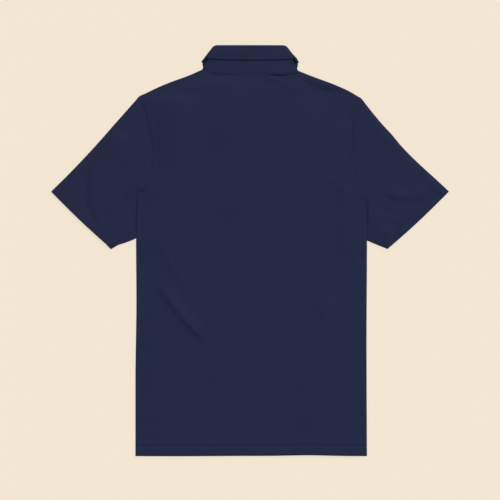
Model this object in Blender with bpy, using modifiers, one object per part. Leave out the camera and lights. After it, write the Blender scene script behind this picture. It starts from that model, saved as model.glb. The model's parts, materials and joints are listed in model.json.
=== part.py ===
"""A polo shirt that lies flat on its front, with its back up and its collar turned over.

Blender 4.5, metres, +Z up. X runs across the shirt, Y from the hem to the collar, and the origin
is at the middle of the underside. "Out" is the distance from the centre line on either side, and
"left" is the wearer's left, at -X. Each cloth piece is a wall of even thickness.
"""

import math
from bisect import bisect_right
from typing import NamedTuple

import bmesh
import bpy

# Cloth and layers
CLOTH = 0.0012
SEAM_GAP = 0.0003
LAYER_GAP = 0.0006
LAYER = CLOTH + LAYER_GAP
FOLD_RADIUS = LAYER / 2

# Body, seen flat
HEM_UP = -0.4108
CHEST_UP = 0.1114
TIP_OUT = 0.2220
TIP_UP = 0.3056
NECK_OUT = 0.0950
NECK_UP = 0.3604
BACK_NECK_DROP = 0.0100
FRONT_NECK_DROP = 0.0890
BACK_NECK_BEND = (2.4, 1.0)
FRONT_NECK_BEND = (2.0, 0.55)

# Edge of the body from hem to armpit, then the armhole up to the shoulder tip: up, out
BODY_EDGE = {
    "left": (
        (HEM_UP, 0.2292),
        (-0.2600, 0.2292),
        (-0.1000, 0.2273),
        (0.0000, 0.2278),
        (0.1114, 0.2262),
        (0.1184, 0.2240),
        (0.1215, 0.2090),
        (0.1374, 0.2052),
        (0.1614, 0.1980),
        (0.2074, 0.1960),
        (0.2454, 0.2028),
        (0.2742, 0.2088),
        (TIP_UP, TIP_OUT),
    ),
    "right": (
        (HEM_UP, 0.2340),
        (-0.1800, 0.2332),
        (0.0000, 0.2340),
        (0.0950, 0.2325),
        (0.1014, 0.2300),
        (0.1050, 0.2230),
        (0.1114, 0.2180),
        (0.1374, 0.2120),
        (0.1734, 0.2084),
        (0.2286, 0.2036),
        (0.2622, 0.2060),
        (0.2814, 0.2096),
        (TIP_UP, TIP_OUT),
    ),
}

# Shoulder line from the neck to the tip: out, up
SHOULDER = (
    (NECK_OUT, NECK_UP),
    (0.1255, 0.3484),
    (0.1687, 0.3324),
    (0.2040, 0.3164),
    (TIP_OUT, TIP_UP),
)

# Sleeves: outlines of the top fold and of the underarm, out and up, and the height at which the
# sleeve leaves the armhole and passes straight down under the body
SLEEVE_FOLD = {
    "left": ((TIP_OUT, TIP_UP), (0.2500, 0.2764), (0.3142, 0.2044), (0.3596, 0.1564), (0.3980, 0.1184)),
    "right": ((TIP_OUT, TIP_UP), (0.2450, 0.2764), (0.3074, 0.2044), (0.3566, 0.1564), (0.3980, 0.1184)),
}
SLEEVE_UNDER = {
    "left": ((0.2020, 0.0850), (0.2045, 0.0600), (0.2110, 0.0410), (0.2225, 0.0285), (0.2430, 0.0188)),
    "right": ((0.2098, 0.0750), (0.2125, 0.0530), (0.2190, 0.0350), (0.2300, 0.0225), (0.2410, 0.0172)),
}
CUFF_UNDER = {"left": (0.2770, 0.0034), "right": (0.2750, 0.0034)}
SLEEVE_LEAVES = {"left": 0.1490, "right": 0.1620}
SLEEVE_CORNER_UP = {"left": 0.1120, "right": 0.0980}
ARMHOLE_GAP = 0.00035
SLEEVE_TIP_GAP = 0.0010

# Collar: two nested turns at the side of the neck, stand inside and leaf outside
STAND_RADIUS = 0.00095
LEAF_RADIUS = 0.00265
COLLAR_LIFT = 0.00005
COLLAR_MIDDLE = COLLAR_LIFT + CLOTH / 2 + LEAF_RADIUS
COLLAR_END_OUT = 0.0025

# Collar from the centre of the back (turn 0) past the side of the neck (90) to its front end:
# turn, fold out and up, free edge of the leaf out and up, and how far that edge stands off
COLLAR = (
    (0.0, 0.0000, 0.40935, 0.0000, 0.3810, 0.0016),
    (22.0, 0.0265, 0.40935, 0.0345, 0.3813, 0.0016),
    (45.0, 0.0500, 0.4093, 0.0655, 0.3824, 0.0014),
    (68.0, 0.0655, 0.4090, 0.0850, 0.3838, 0.0008),
    (90.0, 0.0705, 0.4072, 0.0923, 0.3774, 0.0),
    (100.0, 0.0695, 0.3980, 0.0950, 0.3660, 0.0),
    (115.0, 0.0640, 0.3800, 0.0920, 0.3430, 0.0),
    (135.0, 0.0480, 0.3470, 0.0810, 0.3090, 0.0),
    (158.0, 0.0240, 0.3180, 0.0640, 0.2700, 0.0),
    (180.0, 0.0025, 0.3060, 0.0460, 0.2470, 0.0),
)

# Placket and buttons
PLACKET_WIDTH = 0.0300
PLACKET_UNDER_WIDTH = 0.0320
PLACKET_TAIL = 0.0060
PLACKET_STEPS = 4
SLIT_OUT = PLACKET_WIDTH / 2 + SEAM_GAP
BUTTON_RADIUS = 0.00575
BUTTON_THICKNESS = 0.0020
BUTTON_SHANK = 0.0004
BUTTON_DISH = 0.0006
BUTTON_RIM = 0.0016
BUTTON_ROUNDING = 0.0006
BUTTON_HOLE_RADIUS = 0.0009
BUTTON_HOLE_OUT = 0.0018
BUTTON_HOLES = 4
BUTTON_UPS = (0.2560, 0.2010, 0.1460)

# Mesh lines that the panels share with the collar and the sleeves: turns of the neckline, and
# heights up the body's edge, of which the armhole's are close together where it bends
SLIT_TURN = math.degrees(math.asin(SLIT_OUT / NECK_OUT))
NECK_TURNS = (0.0, SLIT_TURN, 22.0, 34.0, 46.0, 58.0, 69.0, 80.0, 90.0)
SIDE_UPS = (-0.0600, -0.0425, -0.0250, -0.0075, 0.0100, 0.0275, 0.0450, 0.0625, 0.0800, 0.0950, 0.1014)
ARMHOLE_UPS = (
    CHEST_UP, 0.1184, 0.1215, 0.1290, 0.1374, 0.1490, 0.1620, 0.1760, 0.1910,
    0.2074, 0.2260, 0.2454, 0.2600, 0.2742, 0.2900, TIP_UP,
)

# Mesh steps
SHOULDER_STEPS = 5
BACK_STEPS = 15
FRONT_STEPS = 6
SLEEVE_STEPS = 11
UNDER_BODY_STEPS = 3
TURN_STEPS = 4
COLLAR_TURN_STEPS = 6
STAND_STEPS = 3
LEAF_STEPS = 4
BUTTON_STEPS = 16
BUTTON_HOLE_STEPS = 6

# Materials: linear colours and roughness
NAVY = (0.0176, 0.0232, 0.0545, 1.0)
CLOTH_ROUGHNESS = 0.8
BUTTON_NAVY = (0.0120, 0.0155, 0.0360, 1.0)
BUTTON_ROUGHNESS = 0.35

COLLECTION = "polo_shirt"
CUTTERS = "cutters"

# Offsets of the cloth's thickness, and the distance within which points are one
OUTWARD = 1.0
BOTH_SIDES = 0.0
WELD = 0.00001


class Lift(NamedTuple):
    """A plateau that holds a layer up, with a soft slope round it."""

    middle_x: float
    middle_y: float
    half_x: float
    half_y: float
    height: float
    slope: float


class Crease(NamedTuple):
    """A soft ridge in the back panel, from one point to another."""

    start_x: float
    start_y: float
    end_x: float
    end_y: float
    height: float
    spread: float


COLLAR_FLOOR = COLLAR_MIDDLE - STAND_RADIUS - CLOTH / 2
COLLAR_CEILING = COLLAR_MIDDLE + STAND_RADIUS - CLOTH / 2
PLACKET_FLOOR = BUTTON_THICKNESS + BUTTON_SHANK
TUCK_FLOOR = LAYER + CLOTH + SEAM_GAP

# What lifts the front panel: collar wings, buttons, and the sleeves tucked under its sides
FRONT_LIFTS = (
    Lift(0.0, 0.3100, 0.1000, 0.0700, COLLAR_FLOOR, 0.040),
    Lift(0.0, 0.1995, 0.0180, 0.0645, PLACKET_FLOOR, 0.028),
    Lift(-0.2165, 0.0850, 0.0235, 0.0670, TUCK_FLOOR, 0.030),
    Lift(0.2225, 0.0890, 0.0225, 0.0770, TUCK_FLOOR, 0.030),
)

# What lifts the back panel above its usual place, a little wider than what lies under it
BACK_LIFTS = (
    Lift(0.0, 0.3100, 0.1080, 0.0780, COLLAR_CEILING - LAYER, 0.040),
    Lift(0.0, 0.1900, 0.0240, 0.0900, PLACKET_FLOOR + 2 * CLOTH - SEAM_GAP, 0.060),
    Lift(-0.2165, 0.0850, 0.0275, 0.0710, TUCK_FLOOR, 0.030),
    Lift(0.2225, 0.0890, 0.0265, 0.0810, TUCK_FLOOR, 0.030),
)

# The largest creases of the back
CREASES = (
    Crease(-0.186, -0.066, -0.104, -0.184, 0.0018, 0.0120),
    Crease(-0.186, 0.020, -0.138, -0.068, 0.0012, 0.0120),
    Crease(0.126, 0.159, 0.202, 0.095, 0.0010, 0.0120),
    Crease(0.132, -0.128, 0.174, -0.092, 0.0010, 0.0110),
)


# ---------------------------------------------------------------- numbers and lines


def lerp(start, end, part):
    """Value part of the way from start to end."""
    return start + (end - start) * part


def smooth(part):
    """Ease from 0 to 1 while part goes from 0 to 1."""
    part = min(max(part, 0.0), 1.0)
    return part * part * (3.0 - 2.0 * part)


def steps(count, start=0.0, end=1.0):
    """Evenly spaced values from start to end, count steps apart."""
    return [lerp(start, end, k / count) for k in range(count + 1)]


def tangent(keys, values, k):
    """Slope of a line that passes key k without overshooting."""
    slopes = [
        (values[j + 1] - values[j]) / (keys[j + 1] - keys[j])
        for j in (k - 1, k)
        if 0 <= j < len(keys) - 1
    ]
    if len(slopes) == 1:
        return slopes[0]
    if slopes[0] * slopes[1] <= 0.0:
        return 0.0
    return 2.0 * slopes[0] * slopes[1] / (slopes[0] + slopes[1])


def eased(keys, values, at):
    """Value at a place among keys, on a smooth line through the values."""
    at = min(max(at, keys[0]), keys[-1])
    k = bisect_right(keys, at, 1, len(keys) - 1) - 1
    span = keys[k + 1] - keys[k]
    t = (at - keys[k]) / span
    start_pull = tangent(keys, values, k) * span
    end_pull = tangent(keys, values, k + 1) * span
    ahead = smooth(t)
    return (
        values[k] * (1.0 - ahead)
        + values[k + 1] * ahead
        + start_pull * t * (1.0 - t) ** 2
        - end_pull * t * t * (1.0 - t)
    )


def read(rows, at, column):
    """One column of a table, read at a value of its first column."""
    return eased([row[0] for row in rows], [row[column] for row in rows], at)


def line_keys(points):
    """Fraction of the whole length at which each point of a line lies."""
    lengths = [0.0]
    for here, there in zip(points, points[1:]):
        lengths.append(lengths[-1] + math.dist(here, there))
    return [length / lengths[-1] for length in lengths]


def along(points, fraction):
    """Point at a fraction of the length of the smooth line through some points."""
    keys = line_keys(points)
    return tuple(eased(keys, [point[axis] for point in points], fraction) for axis in (0, 1))


def along_straight(points, fraction):
    """The same on straight stretches, and past the ends on the end stretches."""
    keys = line_keys(points)
    k = bisect_right(keys, fraction, 1, len(keys) - 1) - 1
    t = (fraction - keys[k]) / (keys[k + 1] - keys[k])
    return tuple(lerp(points[k][axis], points[k + 1][axis], t) for axis in (0, 1))


# ---------------------------------------------------------------- heights of the layers


def plateau(lift, x, y):
    """Height that one lift gives at a place."""
    beside = max(abs(x - lift.middle_x) - lift.half_x, 0.0)
    beyond = max(abs(y - lift.middle_y) - lift.half_y, 0.0)
    return lift.height * smooth(1.0 - math.hypot(beside, beyond) / lift.slope)


def ridge(crease, x, y):
    """Height that one crease gives at a place."""
    run_x = crease.end_x - crease.start_x
    run_y = crease.end_y - crease.start_y
    length = math.hypot(run_x, run_y)
    forward = ((x - crease.start_x) * run_x + (y - crease.start_y) * run_y) / length
    sideways = ((x - crease.start_x) * run_y - (y - crease.start_y) * run_x) / length
    fade_in = smooth(0.5 + 1.5 * forward / length)
    fade_out = smooth(2.0 - 1.5 * forward / length)
    return crease.height * fade_in * fade_out * math.exp(-0.5 * (sideways / crease.spread) ** 2)


def front_floor(x, y):
    """Height of the outer face of the front panel, which lies towards the ground."""
    return max(plateau(lift, x, y) for lift in FRONT_LIFTS)


def back_floor(x, y):
    """Height of the inner face of the back panel."""
    lifted = max(plateau(lift, x, y) for lift in BACK_LIFTS)
    return LAYER + lifted + sum(ridge(crease, x, y) for crease in CREASES)


# ---------------------------------------------------------------- outlines of the body


def neck_up(out, drop, bend):
    """Height of a neckline at a distance from the centre line."""
    inner, outer = bend
    return NECK_UP - drop * (1.0 - (out / NECK_OUT) ** inner) ** outer


def neckline(turn):
    """Point of the whole neckline: back centre at 0, side of the neck at 90, front centre at 180."""
    out = NECK_OUT * math.sin(math.radians(turn))
    if turn <= 90.0:
        return out, neck_up(out, BACK_NECK_DROP, BACK_NECK_BEND)
    return out, neck_up(out, FRONT_NECK_DROP, FRONT_NECK_BEND)


def across_neck(turn):
    """Direction across the neckline, into the collar."""
    if turn == 90.0:
        pair = across_neck(89.0), across_neck(91.0)
        total = [pair[0][axis] + pair[1][axis] for axis in (0, 1)]
        size = math.hypot(*total)
        return total[0] / size, total[1] / size
    before = neckline(max(turn - 0.5, 0.0))
    after = neckline(min(turn + 0.5, 180.0))
    run = math.dist(before, after)
    hand = 1.0 if turn < 90.0 else -1.0
    return hand * (before[1] - after[1]) / run, hand * (after[0] - before[0]) / run


def neck_seam(turn):
    """Point where the collar starts: the neckline, moved a seam's gap into the collar."""
    out, up = neckline(turn)
    aside, ahead = across_neck(turn)
    return out + aside * SEAM_GAP, up + ahead * SEAM_GAP


def edge_out(side, up):
    """Distance of the body's edge from the centre line at a height."""
    return read(BODY_EDGE[side], up, 1)


class Column(NamedTuple):
    """A line of a panel's mesh, from the hem to the neck or shoulder."""

    side: str
    sign: float
    weight: float
    hem_out: float
    chest_out: float
    top_out: float
    top_up: float


def panel_column(number, drop, bend):
    """Column of a panel, counted from the centre line and negative on the left."""
    side = "left" if number < 0 else "right"
    sign = -1.0 if number < 0 else 1.0
    neck_steps = len(NECK_TURNS) - 1
    count = abs(number)
    hem_out = edge_out(side, HEM_UP) * count / (neck_steps + SHOULDER_STEPS)
    if count <= neck_steps:
        out = NECK_OUT * math.sin(math.radians(NECK_TURNS[count]))
        return Column(side, sign, 0.0, hem_out, out, out, neck_up(out, drop, bend))
    weight = (count - neck_steps) / SHOULDER_STEPS
    chest_out = lerp(NECK_OUT, edge_out(side, CHEST_UP), weight)
    top_out, top_up = along(SHOULDER, weight)
    return Column(side, sign, weight, hem_out, chest_out, top_out, top_up)


def panel_columns(drop, bend):
    """All columns of a panel, from its left edge to its right edge."""
    last = len(NECK_TURNS) - 1 + SHOULDER_STEPS
    return [panel_column(number, drop, bend) for number in range(-last, last + 1)]


def panel_rows(lower_steps):
    """Heights of a panel's mesh rows at the body's edge; all but the lowest are the same."""
    return [*steps(lower_steps, HEM_UP, SIDE_UPS[0]), *SIDE_UPS[1:], *ARMHOLE_UPS]


def panel_point(column, edge_up):
    """Place of a column's point on the row that meets the body's edge at a height."""
    if edge_up <= CHEST_UP:
        part = (edge_up - HEM_UP) / (CHEST_UP - HEM_UP)
        low, high = column.hem_out, column.chest_out
        edge_low, edge_high = edge_out(column.side, HEM_UP), edge_out(column.side, CHEST_UP)
        up = edge_up
    else:
        part = (edge_up - CHEST_UP) / (TIP_UP - CHEST_UP)
        low, high = column.chest_out, column.top_out
        edge_low, edge_high = edge_out(column.side, CHEST_UP), TIP_OUT
        up = lerp(CHEST_UP, column.top_up, part)
    swell = edge_out(column.side, edge_up) - lerp(edge_low, edge_high, part)
    return column.sign * (lerp(low, high, part) + column.weight * swell), up


# ---------------------------------------------------------------- meshes and objects


def clear_scene():
    """Remove every object that the file opens with."""
    for item in list(bpy.data.objects):
        bpy.data.objects.remove(item, do_unlink=True)


def material(name, colour, roughness):
    """A Principled material."""
    surface = bpy.data.materials.new(name)
    surface.use_nodes = True
    shader = surface.node_tree.nodes["Principled BSDF"]
    shader.inputs["Base Color"].default_value = colour
    shader.inputs["Roughness"].default_value = roughness
    shader.inputs["Metallic"].default_value = 0.0
    return surface


def grid_spot(place, wide, high):
    """Column and row of a place in a grid that reaches from -1 to 1, as fractions of steps."""
    return (place.x + 1.0) / 2.0 * wide, (place.y + 1.0) / 2.0 * high


def mapped_grid(columns, rows, place, closed=False, keep=None):
    """A grid whose points are placed from their column and row.

    Closed joins its first and last columns, and keep chooses the faces that stay.
    """
    mesh = bmesh.new()
    wide, high = len(columns) - 1, len(rows) - 1
    bmesh.ops.create_grid(mesh, x_segments=wide, y_segments=high, size=1.0)
    if keep is not None:
        spots = [(face, grid_spot(face.calc_center_median(), wide, high)) for face in mesh.faces]
        spare = [face for face, (column, row) in spots if not keep(int(column), int(row))]
        bmesh.ops.delete(mesh, geom=spare, context="FACES")
    for point in mesh.verts:
        column, row = grid_spot(point.co, wide, high)
        point.co = place(columns[round(column)], rows[round(row)])
    if closed:
        bmesh.ops.remove_doubles(mesh, verts=mesh.verts, dist=WELD)
    return mesh


def new_object(name, mesh, colour, roughness):
    """An object with its own material, in the shirt's collection."""
    data = bpy.data.meshes.new(name)
    mesh.to_mesh(data)
    mesh.free()
    data.materials.append(material(f"{name}_material", colour, roughness))
    item = bpy.data.objects.new(name, data)
    bpy.data.collections[COLLECTION].objects.link(item)
    data.shade_smooth()
    return item


def thicken(item, offset):
    """Give a surface the cloth's thickness: OUTWARD from it, or to BOTH_SIDES."""
    wall = item.modifiers.new("cloth", "SOLIDIFY")
    wall.thickness = CLOTH
    wall.offset = offset
    wall.use_even_offset = True
    wall.use_quality_normals = True


def cloth_object(name, surface, offset):
    """A piece of cloth: an open surface with the cloth's thickness, outward or to both sides."""
    item = new_object(name, surface, NAVY, CLOTH_ROUGHNESS)
    thicken(item, offset)


# ---------------------------------------------------------------- pieces


def back_panel():
    """The back, which rests on the front and on what lies between them."""

    def place(column, edge_up):
        x, y = panel_point(column, edge_up)
        sewn = column.weight == 1.0 or edge_up == TIP_UP and column.weight > 0.0
        dip = LAYER_GAP - SEAM_GAP if sewn else 0.0
        return x, y, back_floor(x, y) - dip

    columns = panel_columns(BACK_NECK_DROP, BACK_NECK_BEND)
    cloth_object("back", mapped_grid(columns, panel_rows(BACK_STEPS), place), OUTWARD)


def front_panel():
    """The front, with a slit at its centre that the placket fills."""
    rows = panel_rows(FRONT_STEPS)
    centre = len(NECK_TURNS) - 1 + SHOULDER_STEPS

    def place(column, edge_up):
        x, y = panel_point(column, edge_up)
        return x, y, front_floor(x, y)

    def outside_slit(column, row):
        return column not in (centre - 1, centre) or rows[row] < CHEST_UP

    columns = panel_columns(FRONT_NECK_DROP, FRONT_NECK_BEND)
    cloth_object("front", mapped_grid(columns, rows, place, keep=outside_slit), OUTWARD)


def placket_strip(name, width, height, rows):
    """A strip of the placket, at a height above the outer face of the front panel."""

    def place(part, edge_up):
        x = width * part
        share = (edge_up - CHEST_UP) / (TIP_UP - CHEST_UP)
        neck = neck_up(abs(x), FRONT_NECK_DROP, FRONT_NECK_BEND)
        y = lerp(CHEST_UP, neck, share) if share > 0.0 else edge_up
        return x, y, front_floor(x, y) + height

    cloth_object(name, mapped_grid(steps(PLACKET_STEPS, -0.5, 0.5), rows, place), OUTWARD)


def placket():
    """The placket: a strip that fills the slit, and one behind it that also covers its end."""
    placket_strip("placket_top", PLACKET_WIDTH, 0.0, [CHEST_UP + SEAM_GAP, *ARMHOLE_UPS[1:]])
    behind = [CHEST_UP - PLACKET_TAIL, *ARMHOLE_UPS]
    placket_strip("placket_under", PLACKET_UNDER_WIDTH, CLOTH + SEAM_GAP, behind)


def sleeve_armhole(side):
    """Points of the sleeve's edge from the shoulder tip to its hidden corner, out and up."""
    shared = [up for up in reversed(ARMHOLE_UPS) if up >= SLEEVE_LEAVES[side]]
    points = [(edge_out(side, up) + ARMHOLE_GAP, up) for up in shared]
    points[0] = (TIP_OUT + SLEEVE_TIP_GAP, TIP_UP)
    out = points[-1][0]
    hidden = steps(UNDER_BODY_STEPS, SLEEVE_LEAVES[side], SLEEVE_CORNER_UP[side])
    return points + [(out, up) for up in hidden[1:]]


def sleeve_point(side, inner, around, outward):
    """Place in a sleeve's outline: around from its fold to its underarm, outward to its cuff."""
    corner = inner[-1]
    fold = (inner[0], *SLEEVE_FOLD[side][1:])
    under = (corner, *SLEEVE_UNDER[side], CUFF_UNDER[side])
    armhole = along_straight(inner, around)
    cuff = [lerp(fold[-1][axis], CUFF_UNDER[side][axis], around) for axis in (0, 1)]
    top = along(fold, outward)
    bottom = along(under, outward)
    return [
        lerp(armhole[axis], cuff[axis], outward)
        + lerp(top[axis], bottom[axis], around)
        - lerp(
            lerp(inner[0][axis], fold[-1][axis], outward),
            lerp(corner[axis], CUFF_UNDER[side][axis], outward),
            around,
        )
        for axis in (0, 1)
    ]


def sleeve_ring(across):
    """Spots round the sleeve's tube: kind, place from fold to underarm, and level or turn."""
    turns = steps(TURN_STEPS, 0.0, 180.0)[1:-1]
    upper = [("flat", around, 1.0) for around in across]
    under = [("under", 1.0, turn) for turn in turns]
    lower = [("flat", around, -1.0) for around in reversed(across)]
    fold = [("fold", 0.0, turn) for turn in turns]
    return [*upper, *under, *lower, *fold, upper[0]]


def sleeve(side):
    """A sleeve: a flattened tube whose edge meets the armhole and passes under the body's side."""
    inner = sleeve_armhole(side)
    sign = -1.0 if side == "left" else 1.0
    middle = CLOTH / 2 + FOLD_RADIUS

    def place(spot, outward):
        kind, around, level = spot
        fold_end = sleeve_point(side, inner, 0.0, outward)
        under_end = sleeve_point(side, inner, 1.0, outward)
        width = math.dist(fold_end, under_end)
        margin = (FOLD_RADIUS + CLOTH / 2) / width
        around = min(max(around, margin), 1.0 - margin)
        if kind != "flat":
            direction = 1.0 if kind == "under" else -1.0
            turn = math.radians(level)
            around += direction * FOLD_RADIUS * math.sin(turn) / width
            level = direction * math.cos(turn)
        out, up = sleeve_point(side, inner, around, outward)
        return sign * out, up, middle + level * FOLD_RADIUS

    ring = sleeve_ring(line_keys(inner))
    surface = mapped_grid(ring, steps(SLEEVE_STEPS), place, closed=True)
    cloth_object(f"sleeve_{side}", surface, BOTH_SIDES)


def collar_stations():
    """Stations from the back centre to the front end: turn on the neckline and turn-over angle."""
    back = [(turn, 0.0) for turn in NECK_TURNS]
    side = [(90.0, over) for over in steps(COLLAR_TURN_STEPS, 0.0, 180.0)[1:-1]]
    last = 180.0 - math.degrees(math.asin(COLLAR_END_OUT / NECK_OUT))
    front = [(180.0 - turn, 180.0) for turn in reversed(NECK_TURNS[1:])]
    return back + side + front + [(last, 180.0)]


def collar_section():
    """Spots across the collar, from its seam over the fold to the leaf's free edge."""
    stand = [("stand", part) for part in steps(STAND_STEPS)]
    fold = [("fold", turn) for turn in steps(TURN_STEPS, 0.0, 180.0)[1:-1]]
    leaf = [("leaf", part) for part in steps(LEAF_STEPS)]
    return stand + fold + leaf


def collar_point(spot, station):
    """Place of a spot of the collar's section at a station."""
    kind, part = spot
    turn, over = station
    seam = neck_seam(turn)
    fold = read(COLLAR, turn, 1), read(COLLAR, turn, 2)
    edge = read(COLLAR, turn, 3), read(COLLAR, turn, 4)
    rise = math.dist(seam, fold)
    ahead = [(fold[axis] - seam[axis]) / rise for axis in (0, 1)]
    if kind == "stand":
        place = [lerp(seam[axis], fold[axis], part) for axis in (0, 1)]
        radius = STAND_RADIUS
    elif kind == "fold":
        bend = (LEAF_RADIUS - STAND_RADIUS) / 2
        place = [fold[axis] + ahead[axis] * bend * math.sin(math.radians(part)) for axis in (0, 1)]
        radius = STAND_RADIUS + bend * (1.0 - math.cos(math.radians(part)))
    else:
        place = [lerp(fold[axis], edge[axis], part) for axis in (0, 1)]
        radius = LEAF_RADIUS + read(COLLAR, turn, 5) * part * part
    sideways = radius * math.sin(math.radians(over))
    height = COLLAR_MIDDLE + radius * math.cos(math.radians(over))
    return place[0] + ahead[1] * sideways, place[1] - ahead[0] * sideways, height


def collar():
    """The collar: a folded band round the neck, whose front ends lie under the front panel."""
    surface = mapped_grid(collar_section(), collar_stations(), collar_point)
    item = new_object("collar", surface, NAVY, CLOTH_ROUGHNESS)
    mirror = item.modifiers.new("other_side", "MIRROR")
    mirror.use_axis = (True, False, False)
    mirror.merge_threshold = WELD
    thicken(item, BOTH_SIDES)


def button(name, up):
    """A button: a turned disc with a raised rim, a dished face and four holes."""
    dish_out = BUTTON_RADIUS - BUTTON_RIM
    outline = (
        (0.0, BUTTON_THICKNESS),
        (BUTTON_RADIUS - BUTTON_ROUNDING, BUTTON_THICKNESS),
        (BUTTON_RADIUS, BUTTON_THICKNESS - BUTTON_ROUNDING),
        (BUTTON_RADIUS, BUTTON_ROUNDING),
        (BUTTON_RADIUS - BUTTON_ROUNDING, 0.0),
        (dish_out, 0.0),
        (dish_out - BUTTON_DISH, BUTTON_DISH),
        (0.0, BUTTON_DISH),
    )
    mesh = bmesh.new()
    points = [mesh.verts.new((out, 0.0, height)) for out, height in outline]
    for here, there in zip(points, points[1:]):
        mesh.edges.new((here, there))
    item = new_object(name, mesh, BUTTON_NAVY, BUTTON_ROUGHNESS)
    item.location = (0.0, up, 0.0)
    turned = item.modifiers.new("turned", "SCREW")
    turned.steps = BUTTON_STEPS
    turned.render_steps = BUTTON_STEPS
    turned.use_merge_vertices = True
    turned.merge_threshold = WELD
    for number in range(BUTTON_HOLES):
        cut_hole(item, number, up)


def cut_hole(item, number, up):
    """Cut one of a button's holes."""
    angle = math.tau * (number + 0.5) / BUTTON_HOLES
    bpy.ops.mesh.primitive_cylinder_add(
        vertices=BUTTON_HOLE_STEPS,
        radius=BUTTON_HOLE_RADIUS,
        depth=BUTTON_THICKNESS * 3,
        location=(
            BUTTON_HOLE_OUT * math.cos(angle),
            up + BUTTON_HOLE_OUT * math.sin(angle),
            BUTTON_THICKNESS / 2,
        ),
    )
    cutter = bpy.context.object
    cutter.name = f"{item.name}_hole_{number + 1}"
    cutter.hide_render = True
    cutter.display_type = "WIRE"
    for owner in list(cutter.users_collection):
        owner.objects.unlink(cutter)
    bpy.data.collections[CUTTERS].objects.link(cutter)
    cut = item.modifiers.new(f"hole_{number + 1}", "BOOLEAN")
    cut.operation = "DIFFERENCE"
    cut.object = cutter


def main():
    """Build the shirt."""
    clear_scene()
    for name in (COLLECTION, CUTTERS):
        bpy.context.scene.collection.children.link(bpy.data.collections.new(name))
    back_panel()
    front_panel()
    for side in ("left", "right"):
        sleeve(side)
    collar()
    placket()
    for number, up in enumerate(BUTTON_UPS, start=1):
        button(f"button_{number}", up)


main()
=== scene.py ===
"""Looks of a polo shirt that lies flat on its front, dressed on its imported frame.

Metres, +Z up. X runs across the shirt, Y from the hem to the collar. "Out" is the distance from the
centre line on either side, "up" is Y, and "left" is the wearer's left, at -X. Every cloth piece is
a thin shell on its solid's form: a face is worked out point by point, and then thickened.
"""

import json
import math
from bisect import bisect_right
from typing import NamedTuple

import bmesh
import bpy
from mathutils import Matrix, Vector
from mathutils.bvhtree import BVHTree

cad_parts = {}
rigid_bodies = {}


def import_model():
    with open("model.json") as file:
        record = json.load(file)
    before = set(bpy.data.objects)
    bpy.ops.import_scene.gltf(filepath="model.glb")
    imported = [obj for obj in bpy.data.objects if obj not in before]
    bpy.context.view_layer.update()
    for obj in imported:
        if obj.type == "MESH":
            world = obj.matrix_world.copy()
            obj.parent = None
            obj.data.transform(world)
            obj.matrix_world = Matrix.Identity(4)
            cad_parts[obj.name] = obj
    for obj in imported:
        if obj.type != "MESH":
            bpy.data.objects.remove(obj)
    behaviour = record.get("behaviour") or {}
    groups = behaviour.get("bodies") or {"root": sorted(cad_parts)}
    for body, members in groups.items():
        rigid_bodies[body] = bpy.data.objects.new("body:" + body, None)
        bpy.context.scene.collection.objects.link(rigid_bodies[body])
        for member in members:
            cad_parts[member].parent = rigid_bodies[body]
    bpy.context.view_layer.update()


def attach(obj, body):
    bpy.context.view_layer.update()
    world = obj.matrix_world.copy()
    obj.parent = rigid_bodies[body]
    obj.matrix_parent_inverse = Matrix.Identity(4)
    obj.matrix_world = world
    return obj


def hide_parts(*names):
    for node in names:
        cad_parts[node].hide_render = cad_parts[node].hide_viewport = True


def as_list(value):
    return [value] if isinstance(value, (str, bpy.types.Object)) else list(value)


# ------------------------ sizes

SIGN = {"left": -1.0, "right": 1.0}
UP = Vector((0.0, 0.0, 1.0))
DOWN = Vector((0.0, 0.0, -1.0))

# Layers of the frame's solids
SOLID = 0.0012
SEAM_GAP = 0.0003
LAYER_GAP = 0.0006
LAYER = SOLID + LAYER_GAP

# Cloth as it really is: one layer, and the two of an interlined collar or placket
KNIT = 0.0007
TURNED = 0.0012

# Body, seen flat
HEM_UP = -0.4108
CHEST_UP = 0.1114
TIP_OUT = 0.222
TIP_UP = 0.3056
NECK_OUT = 0.095
NECK_UP = 0.3604

# Necklines: drop at the middle, and the powers that shape the middle and the ends
BACK_NECK = (0.0098, 7.0, 1.0)
FRONT_NECK = (0.089, 2.0, 0.55)

# Edge of the body from hem to armpit, then the armhole up to the shoulder tip: up, out
BODY_EDGE = {
    "left": (
        (HEM_UP, 0.2292), (-0.26, 0.2292), (-0.1, 0.2273), (0.0, 0.2278), (0.109, 0.2262),
        (0.115, 0.2242), (0.119, 0.2092), (0.1374, 0.2052), (0.1614, 0.198), (0.2074, 0.196),
        (0.2454, 0.2028), (0.2742, 0.2088), (TIP_UP, TIP_OUT),
    ),
    "right": (
        (HEM_UP, 0.234), (-0.18, 0.2332), (0.0, 0.234), (0.095, 0.2325), (0.1, 0.2304),
        (0.104, 0.22), (0.1114, 0.2176), (0.1374, 0.212), (0.1734, 0.2084), (0.2286, 0.2036),
        (0.2622, 0.206), (0.2814, 0.2096), (TIP_UP, TIP_OUT),
    ),
}

# Where the body's side fold ends and the armhole seam begins
ARMPIT_UP = {"left": (0.1095, 0.1155), "right": (0.094, 0.1)}

# Shoulder line from the neck to the tip: out, up
SHOULDER = ((NECK_OUT, NECK_UP), (0.1255, 0.3484), (0.1687, 0.3324), (0.204, 0.3164), (TIP_OUT, TIP_UP))

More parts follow.
